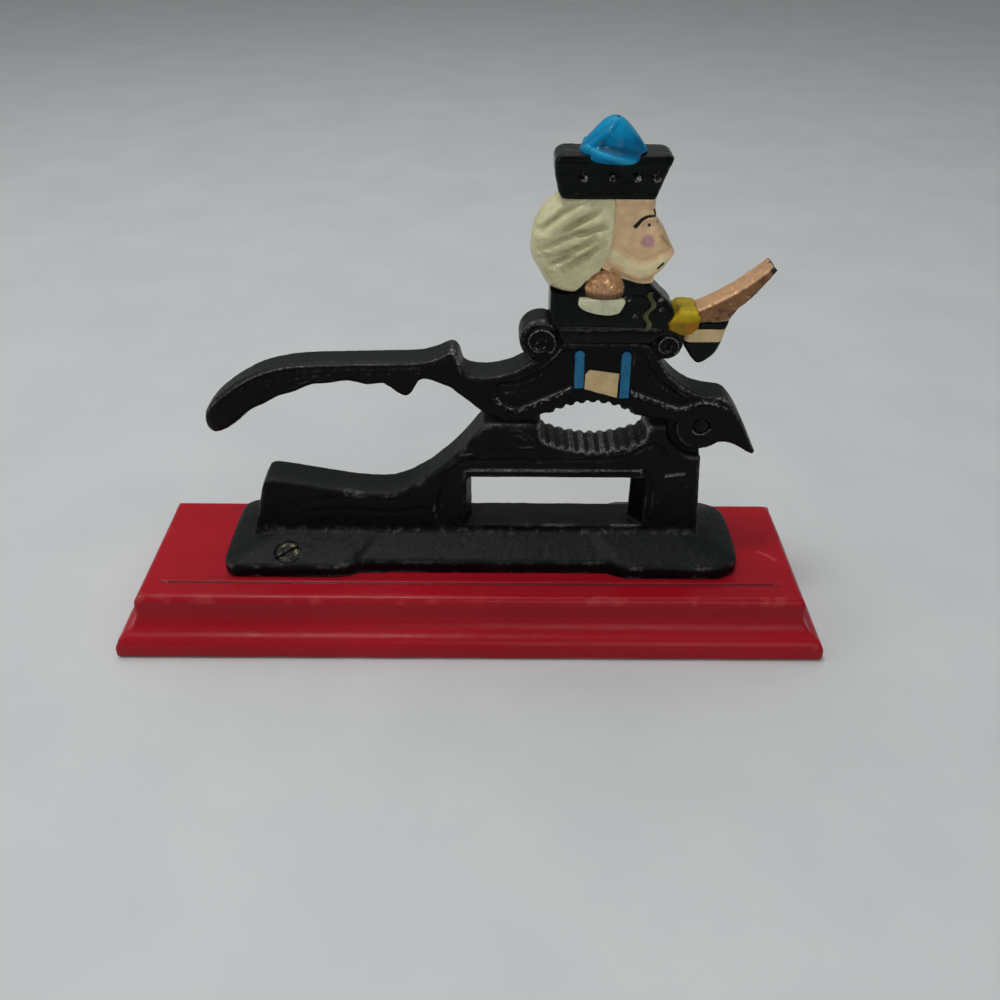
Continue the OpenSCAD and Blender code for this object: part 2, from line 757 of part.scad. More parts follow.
module epaulette_fringes() {
  half = figure_t / 2;
  proud = epaulette_proud * 0.8;
  color(CREAM)
    at_pivot()
      both_faces()
        slab(half, half + proud)
          intersection() {
            polygon(concat(spline(fringe_edge, 3), [[-37, 49]]));
            translate([-50, 30]) square([30, fringe_top - 30]);
          }
}

// The cuff is a cushion: its outline at the middle, drawn in towards each face.
module sleeve_cuff() {
  half = figure_t / 2;
  middle = [-10.4, 38.6];
  color(OCHRE)
    at_pivot()
      difference() {
        loft([for (r = [[-1, 0.78], [-0.93, 0.92], [-0.8, 1], [0.8, 1], [0.93, 0.92], [1, 0.78]])
          [for (q = cuff_edge) let (e = middle + (q - middle) * r[1]) [e[0], half * r[0], e[1]]]]);
        slab(-half - 1, half + 1)
          translate([right_scroll[0], right_scroll[1]]) circle(r = right_scroll[2] + eps);
      }
}

// Sections along the blade, from the cuff to the tip: a point on its upper edge, one on its lower.
blade_sections = [
  [-8, 41.4, -6.6, 36.6], [-5.2, 42.6, -3.6, 37.8], [-1.6, 44.3, 1.5, 37.9], [2.2, 46.5, 4.7, 38.6],
  [5.4, 48.4, 7, 42.4], [8.8, 50.9, 10.2, 45.6], [11.8, 53.3, 13.2, 49.2], [14.4, 55.6, 15.9, 52.9],
  [16.2, 57.2, 17.8, 55.8]
];

module blade_side() {
  rows = spline(blade_sections, 3);
  n = len(rows) - 1;
  polygon(concat([for (s = rows) [s[2], s[3]]], [for (i = [0 : n]) [rows[n - i][0], rows[n - i][1]]]));
}

module sword_blade() {
  color(COPPER)
    at_pivot()
      difference() {
        loft([for (s = spline(blade_sections, 3))
          upright_ring([s[0], s[1]], [s[2], s[3]], blade_t / 2, 0.7)]);
        slab(-10, 10)
          polygon(cuff_edge);
      }
}

// Level sections of the grip under the blade: height, left, right.
grip_rows = [
  [24, -5, -2.4], [25.2, -6.3, 0], [27.4, -7.9, 1.9], [29.5, -9.2, 2.8], [32, -9.6, 3.6],
  [35.4, -9, 4.3], [40, -8, 5.3]
];
band_low = 31.4;
band_high = 36;

module grip_body() {
  difference() {
    loft([for (s = spline(grip_rows, 2)) level_ring(s[0], s[1], s[2], blade_t / 2 + 0.9, 2.4)]);
    slab(-10, 10) {
      polygon(cuff_edge);
      translate([right_scroll[0], right_scroll[1]]) circle(r = right_scroll[2] + eps);
      blade_side();
    }
  }
}

module sword_grip() {
  color(GLOSS_BLACK)
    at_pivot()
      difference() {
        grip_body();
        slab(-10, 10)
          translate([-20, band_low]) square([30, band_high - band_low]);
      }
}

module grip_band() {
  color(CREAM)
    at_pivot()
      intersection() {
        grip_body();
        slab(-10, 10)
          translate([-20, band_low]) square([30, band_high - band_low]);
      }
}

// Level sections of the face: height and the point that its profile reaches.
module figure_face() {
  half = figure_t / 2;
  rings = [for (p = profile_line) level_ring(p[1], -44, p[0], half, 3.6)];
  color(SKIN)
    at_pivot()
      intersection() {
        loft(rings);
        slab(-half - 1, half + 1)
          intersection() {
            head_plan();
            face_side();
          }
      }
}

// Level sections of the hair: height, left, and half the thickness as a share of its fullest.
hair_rows = [
  [48.2, -50.5, 0.6], [50, -54.6, 0.84], [53, -57, 0.94], [57, -59.3, 0.98], [61.5, -60.8, 1],
  [65.5, -60.7, 1], [70.5, -59.7, 0.97], [74.5, -57.5, 0.9], [77.5, -54.4, 0.8], [79, -52.4, 0.68]
];

// The valleys between the locks of the hair.
hair_valleys = [
  [[-48.7, 76.4], [-54.6, 72.1], [-58.3, 68.3]],
  [[-40.5, 75], [-47.2, 71.7], [-51.7, 69.1]],
  [[-38.5, 70.7], [-47, 68.5], [-53, 66.2], [-58.5, 62.9]],
  [[-41, 66.8], [-47.3, 63.9], [-57.5, 60.7]],
  [[-48.3, 61.8], [-55, 58.8]],
  [[-38.6, 65.7], [-43.8, 61.8], [-50.4, 57.1]]
];
valley_depth = 0.9;
valley_half = 1.5;

function segment_distance(p, a, b) =
  let (d = b - a, t = max(0, min(1, (p - a) * d / (d * d)))) norm(p - a - t * d);

function path_distance(p, path) =
  min([for (i = [0 : len(path) - 2]) segment_distance(p, path[i], path[i + 1])]);

// How deep the hair is sunk at a point of its face.
function valley(p) =
  let (near = min([for (path = hair_valleys) path_distance(p, path)]))
  valley_depth * pow(max(0, 1 - near / valley_half), 2) * (1 + 2 * near / valley_half);

// A level section of the hair, from its back round both sides, half_t thick each way.
function hair_ring(z, x0, x1, half_t) =
  let (bend_r = 7.6, turns = 6, steps = 15,
       xs = concat(
         [for (i = [0 : steps - 1]) x1 + (x0 + bend_r - x1) * i / steps],
         [for (i = [0 : turns]) x0 + bend_r * (1 - cos(90 * (1 - i / turns)))]),
       n = len(xs) - 1,
       ys = [for (x = xs)
         let (u = max(0, x0 + bend_r - x) / bend_r) (half_t - valley([x, z])) * sqrt(max(0, 1 - u * u))])
  concat(
    [for (i = [0 : n]) [xs[n - i], ys[n - i], z]],
    [for (i = [0 : n - 1]) [xs[i], -ys[i], z]]);

module figure_hair() {
  half = figure_t / 2 + hair_proud;
  behind_face = -33;
  color(CREAM)
    at_pivot()
      difference() {
        loft([for (s = spline(hair_rows, 3)) hair_ring(s[0], s[1], behind_face, half * s[2])]);
        slab(-half - 1, half + 1) {
          face_side();
          difference() {
            translate([-70, 45]) square([50, 40]);
            head_plan();
          }
          translate(epaulette_centre) circle(r = epaulette_r + 0.05);
        }
      }
}

module figure_hat() {
  half = figure_t / 2;
  stud_r = 1.2;
  color(GLOSS_BLACK)
    at_pivot() {
      loft([for (s = spline(hat_rows, 2)) level_ring(s[0], s[1], s[2], half, 2)]);
      both_faces()
        for (x = [-45.5, -37, -29.5, -23.8])
          translate([x, 0, 85.5]) pivot_cylinder(stud_r, half - 1, half + trim_proud);
    }
}

// The crown is turned about an upright axis and fits over the top of the hat.
module hat_crown() {
  middle = -36.6;
  drop = 1.8;
  crown_r = 10.3;
  rise = 10.1;
  half = figure_t / 2;
  color(SKY_BLUE)
    at_pivot()
      difference() {
        translate([middle, 0, hat_top])
          rotate_extrude()
            polygon(concat(
              [[0, -drop], [crown_r - 0.8, -drop]],
              spline([[crown_r - 0.1, -drop + 0.7], [crown_r, 0.2], [8.1, 3.4], [5.7, 6.3], [3.4, 8.6],
                      [1.6, 9.7], [0.5, rise]], 3),
              [[0, rise]]));
        translate([middle - 15, -half - eps, hat_top - drop - 1])
          cube([30, figure_t + 2 * eps, drop + 1]);
      }
}

module stripe(x0, z0, x1, z1, w) {
  d = [x1 - x0, z1 - z0];
  translate([x0, z0])
    rotate(atan2(d[1], d[0])) {
      translate([0, -w / 2]) square([norm(d), w]);
      translate([norm(d), 0]) circle(d = w, $fn = 32);
    }
}

module trouser_stripes() {
  half = lever_t / 2;
  width = 3.2;
  color(SKY_BLUE)
    at_pivot()
      both_faces()
        slab(half, half + trim_proud) {
          stripe(-43.4, 15, -43.7, 27.2, width);
          stripe(-27.9, 11.3, -28.2, 27, width);
        }
}

module waist_patch() {
  half = lever_t / 2;
  color(CREAM * 0.95)
    at_pivot()
      both_faces()
        slab(half, half + trim_proud * 0.7)
          polygon([[-41.5, 14.6], [-30.3, 11.4], [-30.1, 20.4], [-40.2, 21.8], [-41.6, 20]]);
}

wood_base();
frame_casting();
plate_screws();
pivot_pin();
lever_casting();
figure_coat();
coat_braid();
epaulettes();
epaulette_fringes();
sleeve_cuff();
sword_blade();
sword_grip();
grip_band();
figure_face();
figure_hair();
figure_hat();
hat_crown();
trouser_stripes();
waist_patch();
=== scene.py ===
import math

import bmesh
import bpy
import numpy as np
from mathutils import Matrix, Vector


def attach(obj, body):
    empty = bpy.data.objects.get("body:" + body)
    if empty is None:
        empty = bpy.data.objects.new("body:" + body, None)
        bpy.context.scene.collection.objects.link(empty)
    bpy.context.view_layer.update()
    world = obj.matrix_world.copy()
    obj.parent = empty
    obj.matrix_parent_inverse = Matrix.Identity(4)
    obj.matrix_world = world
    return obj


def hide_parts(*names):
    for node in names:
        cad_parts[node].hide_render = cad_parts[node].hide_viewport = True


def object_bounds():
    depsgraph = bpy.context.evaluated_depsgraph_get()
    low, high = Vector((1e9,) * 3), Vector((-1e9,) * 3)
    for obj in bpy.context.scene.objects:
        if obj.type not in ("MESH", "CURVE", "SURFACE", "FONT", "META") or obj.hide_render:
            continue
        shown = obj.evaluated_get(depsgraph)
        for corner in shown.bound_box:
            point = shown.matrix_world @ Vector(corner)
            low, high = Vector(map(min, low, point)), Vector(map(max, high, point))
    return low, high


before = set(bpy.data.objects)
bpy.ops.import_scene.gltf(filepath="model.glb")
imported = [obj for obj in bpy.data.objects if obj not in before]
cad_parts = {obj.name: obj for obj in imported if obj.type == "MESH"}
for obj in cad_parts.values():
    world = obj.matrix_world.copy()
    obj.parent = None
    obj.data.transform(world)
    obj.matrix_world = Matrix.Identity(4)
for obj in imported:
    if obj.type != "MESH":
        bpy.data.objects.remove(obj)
scene = bpy.context.scene
cad_low, cad_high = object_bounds()

# Lengths below are in mm; a Skin's points are too, and MM takes them back to metres.
MM = 0.001
PIVOT = np.array([80.0, 3.0, 77.5])     # the lever's pivot
MIDDLE_Y = 3.0                          # the castings' middle plane
LEVER_HALF = 6.5                        # half the lever's thickness
WEB_HALF = 7.25                         # half the web's thickness
BOARD_HALF_X, BOARD_HALF_Y, BOARD_TOP = 127.0, 38.0, 22.0


# ---------------------------------------------------------------- noise and curves

def corner_value(i, j, k, seed):
    """A whole-number hash of a grid corner, from -1 to 1."""
    n = (i * 73856093) ^ (j * 19349663) ^ (k * 83492791) ^ (seed * 2654435761)
    n &= 0xFFFFFFFF
    n = ((n ^ (n >> 15)) * 2246822519) & 0xFFFFFFFF
    n = ((n ^ (n >> 13)) * 3266489917) & 0xFFFFFFFF
    return (n ^ (n >> 16)) / 0x7FFFFFFF - 1.0


def noise(p, size, seed):
    """Smooth noise from -1 to 1 at points p in mm, with lumps about size mm wide."""
    q = p / size
    base = np.floor(q).astype(np.int64)
    f = q - base
    f = f * f * (3 - 2 * f)
    out = np.zeros(len(p))
    for dx in (0, 1):
        for dy in (0, 1):
            for dz in (0, 1):
                w = (f[:, 0] if dx else 1 - f[:, 0]) * (f[:, 1] if dy else 1 - f[:, 1])
                w = w * (f[:, 2] if dz else 1 - f[:, 2])
                out += w * corner_value(base[:, 0] + dx, base[:, 1] + dy, base[:, 2] + dz, seed)
    return out


def layered(p, size, seed, octaves=3):
    """Noise with finer and weaker noise on top."""
    total, gain = np.zeros(len(p)), 1.0
    for k in range(octaves):
        total += gain * noise(p, size / 2 ** k, seed + k)
        gain *= 0.5
    return total


def spline(points, n=6):
    """Points along a smooth curve through the given ones."""
    p = np.array(points, float)
    out = []
    for i in range(len(p) - 1):
        a, b, c, d = p[max(i - 1, 0)], p[i], p[i + 1], p[min(i + 2, len(p) - 1)]
        for k in range(n):
            t = k / n
            out.append(0.5 * (2 * b + (c - a) * t + (2 * a - 5 * b + 4 * c - d) * t * t
                              + (3 * b - a - 3 * c + d) * t ** 3))
    out.append(p[-1])
    return np.array(out)


def away(flat, path):
    """Distance of each flat point from a path, and how far along the path it is from 0 to 1."""
    best = np.full(len(flat), 1e9)
    along = np.zeros(len(flat))
    path = np.asarray(path, float)
    total = len(path) - 1
    for i in range(total):
        a, b = path[i], path[i + 1]
        d = b - a
        t = np.clip(((flat - a) @ d) / max(d @ d, 1e-12), 0, 1)
        r = np.linalg.norm(flat - a - t[:, None] * d, axis=1)
        nearer = r < best
        best[nearer] = r[nearer]
        along[nearer] = (i + t[nearer]) / total
    return best, along


def step(x, low, high):
    """From 0 at low to 1 at high, eased at both ends."""
    t = np.clip((x - low) / (high - low), 0, 1)
    return t * t * (3 - 2 * t)


def ridge(flat, path, width, height):
    """A rounded bead of that width along a path; a negative height is a groove."""
    r, _ = away(flat, path)
    return height * np.clip(1 - (2 * r / width) ** 2, 0, 1)


def drawn(flat, lines):
    """Beads and grooves together: each line is a path, its width and its height."""
    return sum(ridge(flat, path, width, height) for path, width, height in lines)


def beside_pivot(p):
    """How far each point is across and up from the lever's pivot."""
    return p[:, [0, 2]] - PIVOT[[0, 2]]


def depth(p):
    """How far each point is in front of or behind the middle plane."""
    return np.abs(p[:, 1] - MIDDLE_Y)


# ---------------------------------------------------------------- working on a mesh

class Skin:
    """A mesh's points in mm with its neighbours, to smooth, push and paint."""

    def __init__(self, mesh):
        self.mesh = mesh
        n = len(mesh.vertices)
        co = np.empty(n * 3)
        mesh.vertices.foreach_get("co", co)
        self.p = co.reshape(-1, 3) / MM
        e = np.empty(len(mesh.edges) * 2, np.int64)
        mesh.edges.foreach_get("vertices", e)
        self.a, self.b = e[0::2], e[1::2]
        self.degree = np.maximum(np.bincount(np.r_[self.a, self.b], minlength=n), 1)

    def spread(self, values):
        """Each point's mean over its neighbours."""
        values = values if values.ndim == 2 else values[:, None]
        out = np.empty_like(values, dtype=float)
        for c in range(values.shape[1]):
            v = values[:, c]
            out[:, c] = np.bincount(self.a, v[self.b], len(v)) + np.bincount(self.b, v[self.a], len(v))
        return out / self.degree[:, None]

    def relax(self, times, keep=None):
        """Smooths the surface without shrinking it."""
        for _ in range(times):
            for pull in (0.5, -0.52):
                move = pull * (self.spread(self.p) - self.p)
                self.p += move if keep is None else move * (1 - keep)[:, None]

    def write(self):
        self.mesh.vertices.foreach_set("co", (self.p * MM).ravel())
        self.mesh.update()

    def normals(self):
        self.write()
        n = np.empty(len(self.p) * 3)
        self.mesh.vertex_normals.foreach_get("vector", n)
        return n.reshape(-1, 3)

    def bulge(self, times):
        """How far each point stands out from its surroundings, in mm."""
        soft = self.p
        for _ in range(times):
            soft = self.spread(soft)
        return np.einsum("ij,ij->i", self.p - soft, self.normals())

    def keep_value(self, name, values):
        layer = self.mesh.attributes.get(name) or self.mesh.attributes.new(name, "FLOAT", "POINT")
        layer.data.foreach_set("value", values.astype(np.float32))

    def keep_colour(self, name, rgb):
        layer = self.mesh.attributes.new(name, "FLOAT_COLOR", "POINT")
        rgba = np.ones((len(self.p), 4), np.float32)
        rgba[:, :3] = rgb
        layer.data.foreach_set("color", rgba.ravel())


def remeshed(node, name, voxel):
    """A new object: the CAD node's surface again as even quads about voxel mm across."""
    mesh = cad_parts[node].data.copy()
    mesh.materials.clear()
    welded = bmesh.new()
    welded.from_mesh(mesh)
    bmesh.ops.remove_doubles(welded, verts=welded.verts, dist=1e-6)
    welded.to_mesh(mesh)
    welded.free()
    rough = bpy.data.objects.new(name + "_rough", mesh)
    scene.collection.objects.link(rough)
    grid = rough.modifiers.new("grid", "REMESH")
    grid.mode = "VOXEL"
    grid.voxel_size = voxel * MM
    grid.adaptivity = 0
    made = bpy.data.meshes.new_from_object(rough.evaluated_get(bpy.context.evaluated_depsgraph_get()))
    bpy.data.objects.remove(rough)
    for layer in list(made.attributes):
        if not layer.is_required and not layer.is_internal:
            made.attributes.remove(layer)
    made.polygons.foreach_set("use_smooth", [True] * len(made.polygons))
    piece = bpy.data.objects.new(name, made)
    scene.collection.objects.link(piece)
    return piece, Skin(made)


def finish_piece(piece, skin, node, body, material):
    skin.p = np.clip(skin.p, np.array(cad_low) / MM, np.array(cad_high) / MM)
    skin.write()
    piece.data.materials.append(material)
    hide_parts(node)
    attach(piece, body)


def faces_out(n, low=0.55, high=0.85):
    """Which points lie on the front or the back, and which way they look."""
    return step(np.abs(n[:, 1]), low, high), np.sign(n[:, 1])


# ---------------------------------------------------------------- materials

class Paint:
    """A material's nodes, made in order."""

    def __init__(self, name, roughness=0.4, metallic=0.0, coat=0.0, coat_roughness=0.1, specular=0.5):
        self.material = bpy.data.materials.new(name)
        self.material.use_nodes = True
        self.tree = self.material.node_tree
        self.shader = self.tree.nodes["Principled BSDF"]
        self.shader.inputs["Roughness"].default_value = roughness
        self.shader.inputs["Metallic"].default_value = metallic
        self.shader.inputs["Coat Weight"].default_value = coat
        self.shader.inputs["Coat Roughness"].default_value = coat_roughness
        self.shader.inputs["Specular IOR Level"].default_value = specular
        self.place = self.node("ShaderNodeTexCoord").outputs["Object"]

    def node(self, kind, **settings):
        made = self.tree.nodes.new(kind)
        for key, value in settings.items():
            setattr(made, key, value)
        return made

    def join(self, source, target):
        self.tree.links.new(source, target)

    def feed(self, socket, value):
        if hasattr(value, "links"):
            self.join(value, socket)
        else:
            socket.default_value = value

    def cloud(self, size, detail=3.0, roughness=0.55, stretch=(1, 1, 1), distortion=0.0):
        """Noise from 0 to 1 with lumps about size mm wide."""
        place = self.node("ShaderNodeMapping")
        self.join(self.place, place.inputs["Vector"])
        for i in range(3):
            place.inputs["Scale"].default_value[i] = 1 / stretch[i]
        made = self.node("ShaderNodeTexNoise")
        self.join(place.outputs["Vector"], made.inputs["Vector"])
        made.inputs["Scale"].default_value = 1 / (size * MM)
        made.inputs["Detail"].default_value = detail
        made.inputs["Roughness"].default_value = roughness
        made.inputs["Distortion"].default_value = distortion
        return made.outputs["Fac"]

    def attribute(self, name, colour=False):
        made = self.node("ShaderNodeAttribute", attribute_name=name)
        return made.outputs["Color" if colour else "Fac"]

    def math(self, operation, a, b=0.0, clamp=False):
        made = self.node("ShaderNodeMath", operation=operation, use_clamp=clamp)
        self.feed(made.inputs[0], a)
        self.feed(made.inputs[1], b)
        return made.outputs[0]

    def band(self, value, low, high, to_low=0.0, to_high=1.0):
        made = self.node("ShaderNodeMapRange", interpolation_type="SMOOTHSTEP")
        self.feed(made.inputs["Value"], value)
        made.inputs["From Min"].default_value = low
        made.inputs["From Max"].default_value = high
        made.inputs["To Min"].default_value = to_low
        made.inputs["To Max"].default_value = to_high
        return made.outputs["Result"]

    def mix(self, share, a, b, blend="MIX"):
        made = self.node("ShaderNodeMix", data_type="RGBA", blend_type=blend)
        self.feed(made.inputs["Factor"], share)
        for socket, value in ((made.inputs[6], a), (made.inputs[7], b)):
            self.feed(socket, value if hasattr(value, "links") else (*value, 1))
        return made.outputs[2]

    def colour(self, value):
        self.feed(self.shader.inputs["Base Color"], value)

    def rough(self, value):
        self.feed(self.shader.inputs["Roughness"], value)

    def bump(self, height, distance, strength=1.0, under=None):
        made = self.node("ShaderNodeBump")
        self.join(height, made.inputs["Height"])
        made.inputs["Distance"].default_value = distance * MM
        made.inputs["Strength"].default_value = strength
        if under is not None:
            self.join(under, made.inputs["Normal"])
        self.join(made.outputs["Normal"], self.shader.inputs["Normal"])
        return made.outputs["Normal"]


def cast_black():
    """Satin black paint over a sand casting: dusty, paler upward faces that are partly painted top
    light, and edges worn to bare metal with painted glints on the lit edges.
    """
    m = Paint("cast_black", roughness=0.42, specular=0.12)
    fine, grains, slow = m.cloud(0.7, 4), m.cloud(0.35, 2), m.cloud(9, 3)
    wear_and_glints = m.attribute("wear_and_glints")
    # bare metal where edges are worn, partly painted glints on edges that catch the light
    speck = m.math("MULTIPLY", wear_and_glints, m.band(grains, 0.44, 0.6))
    base = m.mix(m.band(slow, 0.3, 0.7), (0.0006, 0.0006, 0.0014), (0.0018, 0.0018, 0.003))
    # upward faces paler: partly dusty, partly painted top light
    dust_and_top_light = m.math("MULTIPLY", m.attribute("dust_and_top_light"), m.band(fine, 0.3, 0.75, 0.55, 1.0))
    base = m.mix(dust_and_top_light, base, (0.021, 0.0235, 0.022))
    m.colour(m.mix(speck, base, (0.5, 0.5, 0.48)))
    duller = m.math("MULTIPLY", dust_and_top_light, 0.1)
    m.rough(m.math("ADD", m.band(fine, 0.3, 0.7, 0.3, 0.46), duller))
    m.feed(m.shader.inputs["Metallic"], m.math("MULTIPLY", speck, 0.5))
    first = m.bump(fine, 0.2, 0.75)
    m.bump(m.cloud(2.6, 3), 0.35, 0.55, first)
    return m.material


def enamel(name, rgb, shade, roughness=0.22, coat=0.4, lumps=1.6, height=0.14,
           cavity=(0.2, 0.17, 0.1), specular=0.3):
    """Hand-brushed gloss enamel: slow colour drift, brush ripples and painted shade in the hollows."""
    m = Paint(name, roughness=roughness, coat=coat, coat_roughness=0.12, specular=specular)
    slow, fine = m.cloud(5, 3), m.cloud(lumps, 3, stretch=(1.6, 1, 1))
    base = m.mix(m.band(slow, 0.3, 0.72), rgb, shade)
    # painted shade: the cavity colour laid into the hollows
    hollow_shade = m.math("MULTIPLY", m.attribute("hollow"), m.band(fine, 0.2, 0.7, 0.5, 1.0))
    m.colour(m.mix(hollow_shade, base, cavity))
    m.rough(m.band(fine, 0.3, 0.7, roughness - 0.05, roughness + 0.1))
    m.bump(fine, height, 0.5)
    return m


# ---------------------------------------------------------------- camera, light, floor

def photo_camera():
    """The camera solved from the photograph: where it stood, how it was turned and its focal length."""
    pitch, yaw, roll = (math.radians(a) for a in (34.155, -0.388, 0.555))
    focal_pixels, picture, sensor = 996.9, 1000, 36
    turned = np.array([[math.cos(yaw), math.sin(yaw), 0],
                       [-math.sin(yaw), math.cos(yaw), 0],
                       [0, 0, 1]])
    level = np.array([[1, 0, 0], [0, 0, -1], [0, 1, 0]])
    down = np.array([[1, 0, 0],
                     [0, math.cos(pitch), -math.sin(pitch)],
                     [0, math.sin(pitch), math.cos(pitch)]])
    tilt = np.array([[math.cos(roll), -math.sin(roll), 0],
                     [math.sin(roll), math.cos(roll), 0],
                     [0, 0, 1]])
    r = tilt @ down @ level @ turned
    data = bpy.data.cameras.new("photo_camera")
    data.sensor_width = sensor
    data.lens = sensor * focal_pixels / picture
    data.clip_start, data.clip_end = 0.01, 20
    camera = bpy.data.objects.new("photo_camera", data)
    place = Matrix.Identity(4)
    for row in range(3):
        place[row][0], place[row][1], place[row][2] = r[0][row], -r[1][row], -r[2][row]
    place[0][3], place[1][3], place[2][3] = 0.00832, -0.30365, 0.25002
    camera.matrix_world = place
    scene.collection.objects.link(camera)
    scene.camera = camera


def area_light(name, place, aim, size, watts):
    data = bpy.data.lights.new(name, "AREA")
    data.shape = "SQUARE"
    data.size = size
    data.energy = watts
    light = bpy.data.objects.new(name, data)
    light.location = place
    light.rotation_euler = (Vector(aim) - Vector(place)).to_track_quat("-Z", "Y").to_euler()
    scene.collection.objects.link(light)


def studio():
    """Soft daylight, a lamp overhead and a plain pale floor."""
    area_light("overhead", (-0.1, 0.3, 1.15), (0, 0, 0.05), 1.0, 4.6)
    area_light("ceiling_lamp", (-0.25, -0.1, 1.2), (0, 0, 0.08), 0.16, 3.0)
    area_light("left_window", (-1.3, -0.1, 0.9), (0, 0, 0.08), 0.7, 2.6)
    area_light("front_fill", (0.35, -1.3, 0.8), (0, 0, 0.08), 0.7, 3.0)
    world = bpy.data.worlds.new("studio")
    world.use_nodes = True
    back = world.node_tree.nodes["Background"]
    back.inputs["Color"].default_value = (0.95, 0.98, 1.0, 1)
    back.inputs["Strength"].default_value = 0.23
    scene.world = world
    scene.view_settings.view_transform = "Standard"
    m = Paint("floor_sheet", roughness=0.55)
    m.colour(m.mix(m.band(m.cloud(60, 3), 0.3, 0.7), (0.62, 0.64, 0.64), (0.66, 0.675, 0.675)))
    m.bump(m.cloud(1.5, 3), 0.05, 0.3)
    mesh = bpy.data.meshes.new("floor")
    reach = 3.0
    mesh.from_pydata([(-reach, -reach, 0), (reach, -reach, 0), (reach, reach, 0), (-reach, reach, 0)],
                     [], [(0, 1, 2, 3)])
    mesh.materials.append(m.material)
    floor = bpy.data.objects.new("floor", mesh)
    scene.collection.objects.link(floor)


# ---------------------------------------------------------------- iron castings

# Each line of relief is a path across and up, its width and its height; a groove's height is negative.
# These are on the frame's web, measured from the origin.
WEB_LINES = [
    (spline([(-13.9, 42), (-12.9, 52), (-10.9, 59.5), (-6.5, 65), (0, 66.4)]), 1.6, 0.35),
    (spline([(-3.0, 38), (-3.2, 52), (-2.2, 57.6), (1, 59.6), (30, 59.7), (58, 59.9), (60.6, 58.9)]),
     1.6, 0.45),                                                  # round the top of the window
    ([(66.9, 55.5), (66.9, 44.5)], 1.2, -0.35),
    ([(69.3, 57.6), (75.6, 58.6)], 2.0, 0.6),                     # the dash on the post
    ([(75.6, 52), (79.6, 52.3)], 1.0, -0.4),
    (spline([(4, 69.2), (7, 72), (11, 74.4), (16, 74.8), (20, 72.6), (22.5, 69.3)]), 1.3, -0.4),
    ([(4, 69.2), (22.5, 69.3)], 1.4, 0.45),                       # the bar under the half-moon
]
# Soft lines along the saddle, which sway a little.
SADDLE_LINES = [
    (spline([(-56, 46.6), (-46, 47.2), (-34, 46.4), (-24, 47.8)]), 2.2, -0.2),
    (spline([(-58, 41.6), (-45, 42.4), (-32, 41.4), (-18, 42.6)]), 2.4, -0.2),
    (spline([(-66, 37), (-64, 44), (-58, 47)]), 2.0, -0.15),
]
# On the lever, measured from the pivot: the arc on the boss, lines on the handle and round the jaw.
LEVER_LINES = [
    (spline([(-9.5, 6.5), (-5, 8.4), (0, 9.4), (4.5, 8.8), (8, 7)]), 1.2, 0.25),
    (spline([(-150, 15.4), (-140, 18), (-125, 19.6), (-105, 20), (-92, 20.6)]), 1.0, -0.22),
    (spline([(-156, 10), (-146, 14.6), (-134, 17), (-120, 18.2)]), 0.9, -0.18),
    (spline([(-70, 15.6), (-62, 16.6), (-55, 20.6), (-50.5, 26.5)]), 1.0, -0.3),
    (spline([(-68, 12.4), (-60, 13.8), (-53, 18), (-48, 24)]), 1.0, 0.22),
    (spline([(-22.6, 26), (-20, 20.6), (-15, 15.6), (-9, 11.6)]), 1.0, -0.3),
]
# The CAD's beads over the upper jaw, where the paint is rubbed through.
JAW_BEADS = [
    spline([(-71.6, 10.6), (-68.6, 7.4), (-64.6, 6), (-60, 7.8), (-45.8, 14.7)]),
    spline([(-25.6, 13.3), (-16.5, 9.8), (-8.5, 6.9), (-4.5, 8.2), (0.5, 9.6), (5, 8.6)]),
]
SCROLLS = [((-56.8, 31.7), 7.1), ((-15.0, 30.5), 5.4)]            # centre and radius
PLATE_FOOT = 22.3               # the casting's flat underside ends below this height
PLATE_TOP = 36.0
FILLET_TOP = 33.2               # where the web meets the plate
WINDOW_TOP = 59.8


